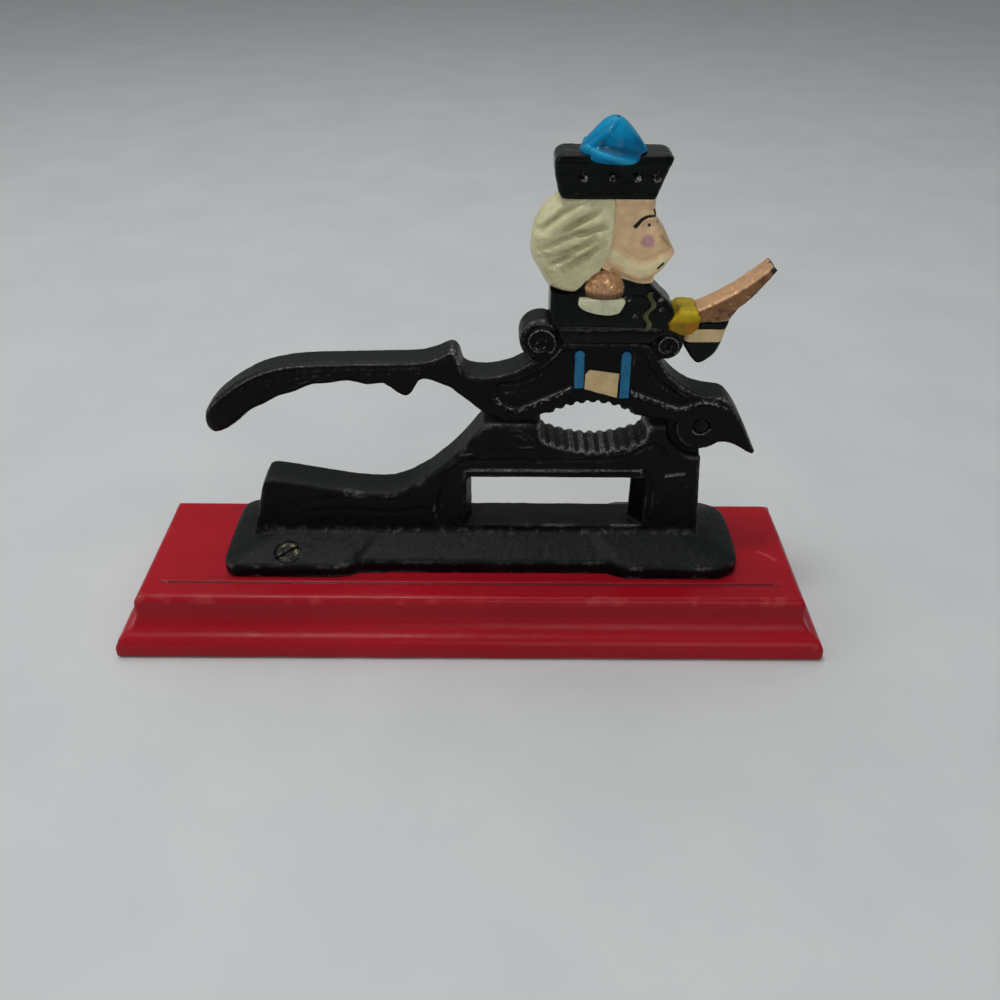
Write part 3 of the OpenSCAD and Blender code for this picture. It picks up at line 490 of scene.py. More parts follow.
def make_frame(material):
    """The frame's casting: relief on the web, sand texture, a crumbly fillet and worn edges, with
    painted highlights along the line over the window and on the dash on the post, and paler upward faces
    that are partly painted top light.
    """
    piece, skin = remeshed("frame_casting", "frame_iron", 0.585)
    skin.relax(3)
    p = skin.p
    n = skin.normals()
    out, side = faces_out(n)
    across, up = p[:, 0], p[:, 2]
    flat = p[:, [0, 2]]
    web = (np.abs(depth(p) - WEB_HALF) < 0.6) & (up > 33)
    in_fork = np.linalg.norm(beside_pivot(p), axis=1) < 13.2
    swayed = flat + np.c_[np.zeros(len(p)), 0.5 * noise(p, 7, 23)]
    lift = drawn(flat, WEB_LINES) + drawn(swayed, SADDLE_LINES)
    p[:, 1] += np.where(web & ~in_fork, out * side * lift, 0)

    sand = np.where(up < PLATE_FOOT, 0, 0.07 * layered(p, 2.2, 11, 3) + 0.10 * noise(p, 9, 5))
    plate = (up > PLATE_FOOT) & (up < PLATE_TOP)
    fillet = np.exp(-((up - FILLET_TOP - 0.5 * noise(p, 5, 21)) / 1.6) ** 2)
    fillet *= step(9.5 - depth(p), 0, 1.5)
    crumbs = np.clip(0.6 * noise(p, 1.1, 31) + 0.6 * noise(p, 2.6, 32), -0.3, 1)
    push = sand + np.where(plate, 0.05 * noise(p, 1.1, 41), 0) + 0.24 * fillet * crumbs
    still = in_fork & (depth(p) < WEB_HALF - 0.6)
    p += n * np.where(still, 0, push)[:, None]
    p[:, 2] = np.maximum(p[:, 2], BOARD_TOP)

    n = skin.normals()
    edge = step(skin.bulge(4), 0.05, 0.16)
    jaw = (flat[:, 0] > 23) & (flat[:, 0] < 63) & (flat[:, 1] > 66) & (flat[:, 1] < 79)
    rubbed_and_highlit = 0.35 * step(layered(p, 6, 71, 2), -0.2, 0.7) + np.where(jaw, 0.5, 0)
    # painted highlight: a bright line over the window and on the dash on the post, laid in as bare metal
    rubbed_and_highlit += 0.5 * np.exp(-((up - WINDOW_TOP) / 0.9) ** 2) * ((across > -4) & (across < 62))
    rubbed_and_highlit += 0.5 * ((across > 69) & (across < 76) & (np.abs(up - 58) < 1.6))
    # bare metal where edges are worn, partly painted highlights
    skin.keep_value("wear_and_glints", np.clip(edge * rubbed_and_highlit + 0.2 * fillet * step(crumbs, 0.0, 0.7), 0, 1))
    # upward faces paler: partly dusty, partly painted top light
    dust_and_top_light = np.where(up < PLATE_TOP, 0.55, 0.85) * step(n[:, 2], 0.35, 0.9)
    dust_and_top_light += 0.12 * step(layered(p, 8, 75, 2), -0.3, 0.8)
    skin.keep_value("dust_and_top_light", np.clip(dust_and_top_light, 0, 1))
    finish_piece(piece, skin, "frame_casting", "frame", material)


def make_lever(material):
    """The lever's casting: fine lines, sand texture, beads worn through to the metal, painted glints
    along the top front edges and on the scrolls, and paler upward faces, partly dusty, partly painted
    top light.
    """
    piece, skin = remeshed("lever_casting", "lever_iron", 0.42)
    skin.relax(3)
    p = skin.p
    n = skin.normals()
    out, side = faces_out(n)
    flat = beside_pivot(p)
    on_face = np.abs(depth(p) - LEVER_HALF) < 1.4
    p[:, 1] += np.where(on_face, out * side * drawn(flat, LEVER_LINES), 0)

    bead = np.min([away(flat, path)[0] for path in JAW_BEADS], axis=0)
    on_bead = step(1.3 - bead, 0, 0.6) * out
    through = step(layered(p, 1.1, 91, 2), 0.1, 0.9)
    push = 0.06 * layered(p, 2.0, 12, 3) + 0.09 * noise(p, 8, 6) + 0.22 * on_bead * noise(p, 0.8, 61)
    in_fork = (depth(p) < LEVER_HALF - 1.2) & (np.linalg.norm(flat, axis=1) < 14)
    p += n * np.where(in_fork, 0, push)[:, None]

    n = skin.normals()
    edge = step(skin.bulge(4), 0.04, 0.14)
    top_front = (n[:, 2] > 0.2) & (p[:, 1] < MIDDLE_Y)
    scrolls = np.min([np.linalg.norm(flat - centre, axis=1) / r for centre, r in SCROLLS], axis=0)
    # painted highlight along the lit top front edges, laid in as bare metal
    rubbed_and_highlit = 0.3 * step(layered(p, 6, 72, 2), -0.2, 0.7) + np.where(top_front, 0.55, 0)
    # painted glints on the scrolls
    rubbed_and_highlit += 0.6 * (scrolls < 1.05)
    skin.keep_value("wear_and_glints", np.clip(edge * rubbed_and_highlit + 1.3 * on_bead * through, 0, 1))
    # upward faces paler: partly dusty, partly painted top light
    skin.keep_value("dust_and_top_light", np.clip(0.8 * step(n[:, 2], 0.35, 0.9), 0, 1))
    finish_piece(piece, skin, "lever_casting", "lever", material)


# ---------------------------------------------------------------- figure

# Paths and spots on the figure are across and up from the lever's pivot.

def make_zone(node, name, material, voxel=0.3, relax=4, ripple=0.05, seed=1,
              shape=None, tint=None):
    """One painted zone of the figure: remeshed, softened, shaped and given its hollows, where the paint
    lays painted shade.
    """
    piece, skin = remeshed(node, name, voxel)
    skin.relax(relax)
    if shape:
        shape(skin)
    n = skin.normals()
    skin.p += n * (ripple * layered(skin.p, 2.4, seed, 2))[:, None]
    # the hollows, which the paint darkens as painted shade
    skin.keep_value("hollow", step(-skin.bulge(6), 0.02, 0.14))
    if tint:
        skin.keep_colour("tint", tint(skin))
    finish_piece(piece, skin, node, "lever", material)
    return piece, skin


# The valleys are the CAD's, here made fuller; the ridges are the locks between them.
HAIR_VALLEYS = [
    [(-47.5, 77), (-51.9, 74.3), (-55.6, 71.0), (-58.6, 68.2)],
    [(-40.0, 75.4), (-44.4, 73.2), (-48.6, 70.9), (-51.9, 69.0)],
    [(-38.2, 70.9), (-43.0, 69.5), (-48.2, 68.2), (-53.4, 66.1), (-58.6, 62.7)],
    [(-40.6, 67.1), (-45.0, 65.0), (-50.6, 62.6), (-57.6, 60.6)],
    [(-47.8, 62.1), (-51.4, 60.4), (-55.4, 58.7)],
    [(-38.4, 65.9), (-42.6, 62.6), (-46.8, 59.8), (-50.8, 56.9)],
]
HAIR_RIDGES = [
    [(-43.7, 76.8), (-48.6, 73.8), (-53.4, 69.6), (-59.0, 66.9)],
    [(-41.1, 71.9), (-46.1, 70.1), (-50.6, 67.9), (-55.3, 66.4)],
    [(-39.6, 68.3), (-45.0, 66.1), (-50.4, 63.8), (-55.4, 62.0)],
    [(-39.4, 67.2), (-43.4, 63.7), (-48.6, 61.0), (-53.6, 57.6)],
]


def hair_shape(skin):
    """The valleys between the locks made fuller and finer than the CAD's, and a lip under the hat."""
    p, n = skin.p, skin.normals()
    out, _ = faces_out(n, 0.12, 0.5)
    flat = beside_pivot(p)
    lift = np.zeros(len(p))
    for k, path in enumerate(HAIR_VALLEYS):
        r, along = away(flat, spline(path))
        taper = np.sin(np.pi * np.clip(0.08 + 0.9 * along, 0, 1)) ** 0.6
        lift -= (0.62 + 0.12 * (k % 2)) * taper * np.clip(1 - (r / 1.5) ** 2, 0, 1)
    for path in HAIR_RIDGES:
        lift += ridge(flat, spline(path), 3.4, 0.42)
    grain = np.sin(2.6 * (flat[:, 1] - 0.62 * flat[:, 0]) + 1.5 * noise(p, 6, 27))
    lift += 0.035 * grain
    lift += 0.35 * np.exp(-((flat[:, 1] - 78.6) / 0.6) ** 2)
    lift -= 0.3 * np.exp(-((flat[:, 1] - 77.1) / 0.8) ** 2)
    rim = (1 - out) * step(64 - flat[:, 1], 0, 4)
    turn = np.arctan2(flat[:, 1] - 68, flat[:, 0] + 49)
    p += n * (out * lift + 0.55 * rim * (np.abs(np.sin(4.6 * turn + 0.5)) - 0.5))[:, None]


def hair_hollow(skin):
    """Shade in the valleys between the locks."""
    flat = beside_pivot(skin.p)
    shade = np.zeros(len(flat))
    for path in HAIR_VALLEYS:
        r, along = away(flat, spline(path))
        taper = np.sin(np.pi * np.clip(0.06 + 0.9 * along, 0, 1))
        shade = np.maximum(shade, step(1.3 - r, 0, 1.3) * taper)
    return 0.8 * shade


INK = (0.006, 0.004, 0.004)
MOUSTACHE = [(-35.2, 61.8), (-31.4, 59.2), (-27.6, 57.3), (-23.6, 57.4), (-19.6, 59.6)]
BEARD_ROWS = [
    [(-35.0, 56.8), (-31.0, 54.7), (-26.6, 53.2), (-22.6, 53.8)],
    [(-34.4, 53.6), (-30.6, 51.9), (-26.4, 50.6)],
]
BROW = [(-28.9, 70.9), (-28, 71.9), (-27, 73.0), (-25.6, 73.8), (-24.1, 73.9), (-23.1, 73.6),
        (-21.9, 73.3)]
# Ink strokes and dots with their half widths: the lashes, the other brow and the mouth; the eyes.
STROKES = [
    ([(-23.5, 75.6), (-23.0, 74.2)], 0.3),
    ([(-22.4, 74.2), (-21.4, 73.2), (-21.2, 72.2)], 0.34),
    ([(-20.9, 57.7), (-19.4, 59.3)], 0.42),
]
DOTS = [((-24.7, 71.1), 0.55), ((-22.0, 71.4), 0.26)]
FACE_LINES = [
    (spline(MOUSTACHE), 6.4, 1.1),
    (spline([(-35.6, 65.4), (-31.4, 63.0), (-27.4, 61.3), (-22.6, 61.0), (-18.4, 62.2)]), 3.4, -0.4),
    *[(spline(path), 1.9, -0.55) for path in BEARD_ROWS],
    (spline([(-29.5, 71.6), (-27, 74.2), (-22.4, 74.6)]), 2.4, 0.4),      # over the eye
    (spline([(-20.8, 67.8), (-19.3, 65.6), (-17.6, 63.4)]), 1.7, -0.5),   # behind the wing of the nose
    (spline([(-36.4, 76), (-36.9, 70), (-37, 62)]), 2.0, -0.4),           # along the hair
]


def face_paint(skin):
    """Flesh with a cheek spot, brow, eye, mouth and the pale moustache, painted on both sides, with
    painted shade under the hat, beside the nose, in the rows of the beard and along the nostril.
    """
    p = skin.p
    flat = beside_pivot(p)
    rgb = np.tile(np.array([0.84, 0.57, 0.32]), (len(p), 1))

    def lay(share, colour):
        rgb[:] = rgb * (1 - share[:, None]) + np.array(colour) * share[:, None]

    def near(spot, stretch=(1, 1)):
        return np.linalg.norm((flat - spot) / np.array(stretch), axis=1)

    paler, hat_shade, nose_shade = (0.88, 0.65, 0.38), (0.4, 0.25, 0.15), (0.44, 0.36, 0.15)
    lay(0.5 * step(layered(p, 5, 81, 2), -0.6, 0.8), paler)
    lay(0.3 * np.exp(-((flat[:, 1] - 77.6) / 1.2) ** 2), hat_shade)
    lay(0.45 * step(1.2 - near([-18.4, 66.5], (2.6, 3.6)), 0, 0.9), nose_shade)

    band, _ = away(flat, spline(MOUSTACHE))
    lay(0.8 * step(2.5 - band + 0.4 * noise(p, 2, 83), 0, 1.6), (0.86, 0.78, 0.45))
    lay(0.45 * step(55.6 - flat[:, 1] + 0.4 * noise(p, 2, 82), 0, 2), (0.84, 0.63, 0.36))
    # painted shade in the rows of the beard
    for path in BEARD_ROWS:
        groove, _ = away(flat, spline(path))
        lay(0.45 * step(0.9 - groove, 0, 0.8), (0.33, 0.21, 0.12))
    cheek = near([-24.8, 66.4]) - 0.25 * noise(p, 1.5, 84)
    lay(0.75 * step(2.75 - cheek, 0, 1.2), (0.5, 0.215, 0.33))

    brow, share = away(flat, spline(BROW))
    lay(step(0.78 - 0.4 * share - brow + 0.06 * noise(p, 0.8, 85), -0.06, 0.12), INK)
    for path, half in STROKES:
        stroke, _ = away(flat, path)
        lay(step(half - stroke, -0.06, 0.12), INK)
    for spot, half in DOTS:
        lay(step(half - near(spot), -0.06, 0.14), INK)
    lid, _ = away(flat, spline([(-27.0, 70.6), (-25.4, 72.2), (-23.4, 72.2)]))
    lay(0.3 * step(0.4 - lid, 0, 0.3), (0.3, 0.17, 0.12))
    # painted shade along the nostril
    nostril, _ = away(flat, spline([(-20.4, 67.4), (-18.9, 65.6), (-17.3, 63.8)]))
    lay(0.55 * step(0.7 - nostril, 0, 0.6), (0.3, 0.2, 0.1))
    return rgb


def face_shape(skin):
    """Puffed cheek, rolled moustache, eye socket, the wing of the nose and rows in the beard."""
    p, n = skin.p, skin.normals()
    out, _ = faces_out(n, 0.3, 0.7)
    flat = beside_pivot(p)
    lift = drawn(flat, FACE_LINES)
    lift += 0.75 * np.exp(-(np.linalg.norm(flat - [-25.4, 65.6], axis=1) / 3.6) ** 2)
    lift -= 0.5 * np.exp(-(np.linalg.norm(flat - [-25.2, 70.6], axis=1) / 1.9) ** 2)
    lift += 0.35 * np.exp(-((flat[:, 1] - 78.6) / 0.6) ** 2)
    lift -= 0.3 * np.exp(-((flat[:, 1] - 77.0) / 0.9) ** 2)
    p += n * (out * lift)[:, None]


# The crown's front rim, as the photograph sees it.
CROWN_RIM = [(-45.6, 75.9), (-42.4, 72.8), (-37.0, 70.3), (-31.2, 70.0), (-26.6, 71.4), (-24.4, 73.8)]
IN_HAT = 168.8                          # a height just under the hat's top


def as_seen(p):
    """Across and up as the photograph sees a point, in mm, the same from the front and the back."""
    return np.c_[p[:, 0] - PIVOT[0], 0.83 * (p[:, 2] - PIVOT[2]) - 0.56 * depth(p)]


def crown_tint(skin):
    """Paler towards the top as painted light, painted shade in the deep hollow in the front, a painted
    highlight along the rim and a dark spot near the tip.
    """
    p = skin.p
    seen = as_seen(p)
    rgb = np.tile(np.array([0.002, 0.19, 0.4]), (len(p), 1))
    # painted light: the upper part paler
    height = step(seen[:, 1] + 0.6 * noise(p, 3, 121), 75, 83)[:, None]
    rgb = rgb * (1 - height) + np.array([0.005, 0.26, 0.47]) * height
    deep, _ = away(seen, spline([(-40.5, 74.6), (-36.5, 73.2), (-32, 72.8), (-28.6, 73.8)]))
    shade = (0.85 * step(2.6 - deep + 0.3 * noise(p, 2, 122), 0, 2.4))[:, None]
    rgb = rgb * (1 - shade) + np.array([0.001, 0.045, 0.09]) * shade
    edge, _ = away(seen, spline(CROWN_RIM))
    # painted highlight along the rim
    bright = (0.85 * step(0.85 - edge, -0.1, 0.6))[:, None]
    rgb = rgb * (1 - bright) + np.array([0.02, 0.36, 0.6]) * bright
    speck = (step(0.55 - np.linalg.norm(seen - [-35.9, 83.9], axis=1), 0, 0.3))[:, None]
    return rgb * (1 - 0.8 * speck) + np.array([0.0, 0.02, 0.03]) * 0.8 * speck


def crown_shape(skin):
    """Two soft folds from the tip, the dished front between them and a rounded rim."""
    p, n = skin.p, skin.normals()
    seen = as_seen(p)
    rim = spline(CROWN_RIM)
    lift = drawn(seen, [
        (spline([(-36.4, 83), (-38.6, 79), (-42.6, 76), (-45, 75)]), 2.6, 0.5),
        (spline([(-35.4, 83), (-32.4, 79.4), (-28.2, 77), (-25, 75.4)]), 2.6, 0.5),
        (rim, 1.6, 0.35),
    ])
    dish, _ = away(seen, spline([(-39.6, 75), (-36, 74), (-32, 73.8), (-29.2, 74.8)]))
    lift -= step(3.4 - dish, 0, 3.2)
    p += n * (step(depth(p), 1.0, 4.0) * lift)[:, None]
    # what is outside the rim goes down into the hat
    seen = as_seen(p)
    below = np.interp(seen[:, 0], rim[:, 0], rim[:, 1], left=76.2, right=74.0) - seen[:, 1]
    sink = step(below, 0.0, 0.7) * (p[:, 2] > IN_HAT)
    p[:, 2] += sink * (IN_HAT - p[:, 2])


# Where the hat's studs are across.
STUDS = (-45.5, -37, -29.5, -23.8)


def hat_shape(skin):
    """Ragged studs and soft bands along the top and the bottom."""
    p, n = skin.p, skin.normals()
    flat = beside_pivot(p)
    out, _ = faces_out(n, 0.3, 0.7)
    lift = np.zeros(len(p))
    for x in STUDS:
        d = flat - [x, 85.5]
        r, a = np.linalg.norm(d, axis=1), np.arctan2(d[:, 1], d[:, 0])
        lift += 0.4 * np.clip(1 - (r / (1.7 + 0.5 * np.cos(4 * a + x))) ** 2, 0, 1)
    lift += 0.18 * ridge(flat, [(-53, 89.6), (-20, 89.4)], 2.4, 1.0)
    lift += ridge(flat, [(-52.4, 80.2), (-22.6, 80.2)], 1.4, 0.15)
    p += n * (out * lift)[:, None]


COAT_BUTTONS = [(-30.2, 47.2), (-28.6, 46.6), (-26.6, 41.2), (-18.9, 46.8), (-18.3, 43.6)]


def coat_shape(skin):
    """The belt and the groove over it, buttons, cords of the braid and the sleeve's fold."""
    p, n = skin.p, skin.normals()
    flat = beside_pivot(p)
    out, _ = faces_out(n, 0.3, 0.7)
    lift = ridge(flat, [(-53, 34.2), (-18, 34.2)], 5.6, 0.7)
    lift += ridge(flat, [(-53, 37.8), (-19, 37.6)], 2.0, -0.28)
    for spot in COAT_BUTTONS:
        r = np.linalg.norm(flat - spot, axis=1)
        lift += 0.5 * np.clip(1 - (r / 1.1) ** 2, 0, 1)
    for z in (42.4, 46.7, 50.6):
        lift += ridge(flat, spline([(-29, z), (-26, z + 0.9), (-22, z - 0.4), (-18.4, z)]), 2.0, 0.16)
    lift += ridge(flat, spline([(-45, 32.3), (-36, 31.9), (-27, 32.2)]), 1.4, 0.25)
    lift += ridge(flat, spline([(-44, 49), (-46.6, 45), (-44, 41.4), (-38, 40.2), (-31, 41)]), 3.0, 0.3)
    lift += 0.12 * noise(p, 3.4, 29)
    p += n * (out * lift)[:, None]


def button_glint(skin):
    """Silver paint and painted glints on the coat's buttons."""
    flat = beside_pivot(skin.p)
    near = np.min([np.linalg.norm(flat - spot, axis=1) for spot in COAT_BUTTONS], axis=0)
    return 0.55 * step(0.75 - near, -0.1, 0.3) * step(noise(skin.p, 0.6, 33), -0.3, 0.3)


def epaulette_shape(skin):
    """Broad hammered facets, and short upright cords along the lower rim."""
    p, n = skin.p, skin.normals()
    flat = beside_pivot(p) - [-37.1, 50.4]
    u, v = (flat[:, 0] + 0.8 * flat[:, 1]), (flat[:, 0] - 0.8 * flat[:, 1])
    wander = 0.7 * noise(p, 2.6, 35)
    cross = np.minimum(np.abs(np.sin(0.5 * u + wander)), np.abs(np.sin(0.5 * v - wander)))
    rim = step(-flat[:, 1], -0.2, 1.0)
    cords = np.abs(np.sin(2.3 * flat[:, 0]))
    lift = -0.12 * (1 - step(cross, 0.0, 0.6)) * (1 - rim) - 0.22 * (1 - step(cords, 0.1, 0.6)) * rim
    lift += 0.16 * noise(p, 1.5, 36) * (1 - rim)
    p += n * lift[:, None]


def fringe_shape(skin):
    """Short strands along the fringe's lower edge."""
    p, n = skin.p, skin.normals()
    out, _ = faces_out(n, 0.2, 0.6)
    flat = beside_pivot(p) - [-37.5, 60]
    fan = np.arctan2(flat[:, 0], -flat[:, 1])
    strands = np.abs(np.sin(fan * 13 + 0.4 * np.sin(flat[:, 1] * 2)))
    drop = step(-flat[:, 1], 13.6, 15.8)
    lift = -0.16 * drop * (1 - step(strands, 0.05, 0.6)) + 0.25 * np.exp(-((flat[:, 1] + 14) / 1.6) ** 2)
    p += n * (out * lift)[:, None]


def blade_shape(skin):
    """Brush ripples and dents from the mould."""
    p, n = skin.p, skin.normals()
    p += n * (0.12 * layered(p, 2.2, 57, 2) - 0.1 * step(noise(p, 1.3, 58), 0.45, 0.8))[:, None]


def blade_tint(skin):
    """Copper on top with painted shade down the front, dark stains on the front, a black tip and a
    painted highlight along the lower lip.
    """
    p, n = skin.p, skin.normals()
    flat = beside_pivot(p)
    rgb = np.tile(np.array([0.72, 0.42, 0.22]), (len(p), 1))
    # painted shade: faces turned away from the light above are browner
    front = step(-n[:, 2], -0.45, 0.0)[:, None]
    rgb = rgb * (1 - front) + np.array([0.27, 0.13, 0.055]) * front
    stain = (0.85 * step(layered(p, 2.6, 51, 3), 0.1, 0.7))[:, None]
    rgb = rgb * (1 - stain * front) + np.array([0.09, 0.035, 0.025]) * stain * front
    tip = step(flat[:, 0] + 0.8 * noise(p, 1.5, 52), 15.4, 16.6)[:, None]
    rgb = rgb * (1 - tip) + np.array([0.035, 0.03, 0.026]) * tip
    # painted highlight along the lower lip
    lip = away(flat, spline([(-3.6, 37.9), (1.5, 38.1), (4.6, 38.8), (5.6, 40.4)]))[0]
    bright = (0.8 * step(0.8 - lip, 0, 0.5))[:, None]
    return rgb * (1 - bright) + np.array([0.62, 0.5, 0.36]) * bright


def cuff_tint(skin):
    """Ochre, browner below, with greenish brush marks."""
    p = skin.p
    flat = beside_pivot(p)
    top = step(flat[:, 1] + 0.8 * noise(p, 3, 54), 38.6, 41)[:, None]
    rgb = np.array([0.36, 0.165, 0.004]) * (1 - top) + np.array([0.52, 0.38, 0.008]) * top
    green = (0.6 * step(layered(p, 2.4, 55, 3), 0.0, 0.7))[:, None]
    return rgb * (1 - green) + np.array([0.17, 0.17, 0.006]) * green


def tinted(name, roughness, coat, metallic=0.0, lumps=1.2, height=0.12, specular=0.2, hollow_shade=0.6):
    """Paint whose colours were laid on the piece's points, with painted shade in the hollows."""
    m = Paint(name, roughness, metallic, coat, coat_roughness=0.15, specular=specular)
    fine = m.cloud(lumps, 3)
    grey = m.band(m.cloud(3.2, 3), 0.25, 0.75, 0.86, 1.1)
    base = m.mix(1.0, m.attribute("tint", True), grey, "MULTIPLY")
    # painted shade: the hollows darkened towards brown
    m.colour(m.mix(m.math("MULTIPLY", m.attribute("hollow"), hollow_shade), base, (0.12, 0.07, 0.04)))
    m.rough(m.band(fine, 0.3, 0.7, roughness - 0.05, roughness + 0.12))
    m.bump(fine, height, 0.5)
    return m.material


def gloss_black():
    """Black enamel with a green cast, with silver paint and painted glints on the buttons and studs."""
    m = Paint("gloss_black", roughness=0.18, coat=0.0, coat_roughness=0.1, specular=0.13)
    slow, lumps, grains = m.cloud(6, 3), m.cloud(2.2, 3), m.cloud(0.5, 2)
    base = m.mix(m.band(slow, 0.3, 0.7), (0.0012, 0.0018, 0.0016), (0.003, 0.0048, 0.0042))
    # silver paint and painted glints on the buttons and studs
    dabs_and_glints = m.math("MULTIPLY", m.attribute("glint"), m.band(grains, 0.36, 0.5))
    maroon = m.math("MULTIPLY", m.attribute("maroon"), m.band(lumps, 0.4, 0.7))
    base = m.mix(maroon, base, (0.02, 0.006, 0.008))
    m.colour(m.mix(dabs_and_glints, base, (0.5, 0.52, 0.5)))
    m.rough(m.band(lumps, 0.3, 0.7, 0.1, 0.24))
    m.bump(lumps, 0.3, 0.6)
    return m.material


def copper_leaf():
    """Brushed copper enamel with painted shade along the lower rim and in the hollows."""
    m = Paint("copper_enamel", roughness=0.34, metallic=0.6, specular=0.5)
    drift = m.cloud(1.4, 4)
    base = m.mix(m.band(drift, 0.35, 0.7), (0.74, 0.43, 0.22), (0.42, 0.2, 0.085))
    # painted shade on the lower rim
    shade = m.mix(m.attribute("rim"), base, (0.19, 0.1, 0.055))
    m.colour(m.mix(m.math("MULTIPLY", m.attribute("hollow"), 0.3), shade, (0.14, 0.07, 0.04)))
    m.rough(m.band(drift, 0.3, 0.7, 0.26, 0.45))
    m.bump(drift, 0.1, 0.5)
    return m.material


def lower_rim(skin):
    """Painted shade on the lower part of each epaulette."""
    height = skin.p[:, 2] - PIVOT[2]
    return step(50.4 - height + 0.3 * noise(skin.p, 1.2, 37), -0.4, 1.4)


def stud_glint(skin):
    """Silver paint and painted glints on the hat's studs."""
    flat = beside_pivot(skin.p)
    near = np.min([np.linalg.norm(flat - [x, 85.3], axis=1) for x in STUDS], axis=0)
    return 0.75 * step(1.15 - near, -0.1, 0.5) * step(noise(skin.p, 0.7, 34), -0.35, 0.25)


def make_figure():
    black = gloss_black()
    cream = enamel("cream_enamel", (0.72, 0.72, 0.47), (0.6, 0.62, 0.4), 0.28, 0.25).material
    hair = enamel("hair_enamel", (0.72, 0.68, 0.4), (0.6, 0.57, 0.33), 0.28, 0.15, 1.8, 0.12,
                  (0.22, 0.2, 0.1)).material
    blue = enamel("blue_enamel", (0.006, 0.17, 0.34), (0.002, 0.11, 0.24), 0.22, 0.0, 2.6, 0.12,
                  (0.0, 0.04, 0.1)).material
    tan = enamel("tan_enamel", (0.7, 0.52, 0.27), (0.58, 0.42, 0.2), 0.32, 0.2, 0.8, 0.12).material
    olive = enamel("olive_enamel", (0.1, 0.12, 0.012), (0.02, 0.03, 0.006), 0.25, 0.3, 0.8, 0.2).material
    ochre = tinted("ochre_enamel", 0.3, 0.0)
    copper = tinted("blade_copper", 0.36, 0.1, 0.35, 0.9, 0.2)
    flesh = tinted("flesh_enamel", 0.28, 0.0, hollow_shade=0.15)
    sky = tinted("crown_blue", 0.2, 0.0, lumps=2.6, specular=0.1, hollow_shade=0.0)

    # node, piece, material, voxel, times relaxed, ripple, seed, shape, tint
    _, coat = make_zone("figure_coat", "coat_enamel", black, 0.3, 4, 0.06, 101, coat_shape)
    coat.keep_value("glint", button_glint(coat))
    foot = coat.p[:, 2] - PIVOT[2]
    coat.keep_value("maroon", step(36.5 - foot, 0, 3) * step(layered(coat.p, 7, 38, 2), -0.3, 0.6))
    make_zone("coat_braid", "braid_enamel", olive, 0.18, 6, 0.06, 102)
    _, pads = make_zone("epaulettes", "epaulette_pads", copper_leaf(), 0.2, 3, 0.03, 103,
                        epaulette_shape)
    pads.keep_value("rim", lower_rim(pads))
    make_zone("epaulette_fringes", "fringe_strands", cream, 0.2, 8, 0.04, 104,
              fringe_shape)
    make_zone("sleeve_cuff", "cuff_enamel", ochre, 0.25, 60, 0.16, 105, tint=cuff_tint)
    make_zone("sword_blade", "blade_enamel", copper, 0.25, 3, 0.07, 106,
              blade_shape, blade_tint)
    make_zone("sword_grip", "grip_enamel", black, 0.25, 4, 0.06, 107)
    make_zone("grip_band", "band_enamel", tan, 0.25, 4, 0.06, 108)
    make_zone("figure_face", "face_enamel", flesh, 0.22, 6, 0.05, 109,
              face_shape, face_paint)
    _, locks = make_zone("figure_hair", "hair_strands", hair, 0.28, 30, 0.05, 110,
                         hair_shape)
    locks.keep_value("hollow", hair_hollow(locks))
    _, hat = make_zone("figure_hat", "hat_enamel", black, 0.28, 4, 0.08, 111, hat_shape)
    hat.keep_value("glint", stud_glint(hat))
    make_zone("hat_crown", "crown_enamel", sky, 0.25, 8, 0.04, 112, crown_shape, crown_tint)
    make_zone("trouser_stripes", "stripe_enamel", blue, 0.18, 9, 0.08, 113)
    make_zone("waist_patch", "patch_enamel", tan, 0.18, 9, 0.07, 114)


# ---------------------------------------------------------------- base, screws and pin

def red_paint():
    """Gloss red paint over wood: faint brush drift, bare wood where it is knocked, painted shade in the
    scored line, round the plate and at the foot, and painted highlights along the top edges with a pale
    scratch.
    """
    m = Paint("red_paint", roughness=0.32, coat=0.0, coat_roughness=0.2, specular=0.18)
    slow, fine = m.cloud(40, 3, stretch=(3, 1, 1)), m.cloud(1.4, 3, stretch=(6, 1, 1))
    base = m.mix(m.band(slow, 0.3, 0.7), (0.4, 0.008, 0.018), (0.34, 0.005, 0.013))
    chipped = m.mix(m.band(m.cloud(1.2, 3), 0.35, 0.65), (0.33, 0.17, 0.1), (0.1, 0.035, 0.025))
    base = m.mix(m.attribute("chip"), base, chipped)
    # painted shade in the scored line, round the plate and at the foot
    base = m.mix(m.attribute("painted_shade"), base, (0.05, 0.008, 0.008))
    # painted highlight along the top edges, and a pale scratch
    base = m.mix(m.attribute("rubbed_and_highlit"), base, (0.6, 0.13, 0.12))
    m.colour(base)
    m.rough(m.math("ADD", m.band(m.cloud(5, 4, stretch=(3, 1, 1)), 0.3, 0.7, 0.24, 0.36),
                   m.math("MULTIPLY", m.attribute("chip"), 0.4)))
    m.bump(fine, 0.04, 0.3)
    return m.material


def arc(centre, radius, start, end, count):
    turn = np.radians(np.linspace(start, end, count + 1))
    return [(centre[0] + radius * math.cos(a), centre[1] + radius * math.sin(a)) for a in turn]


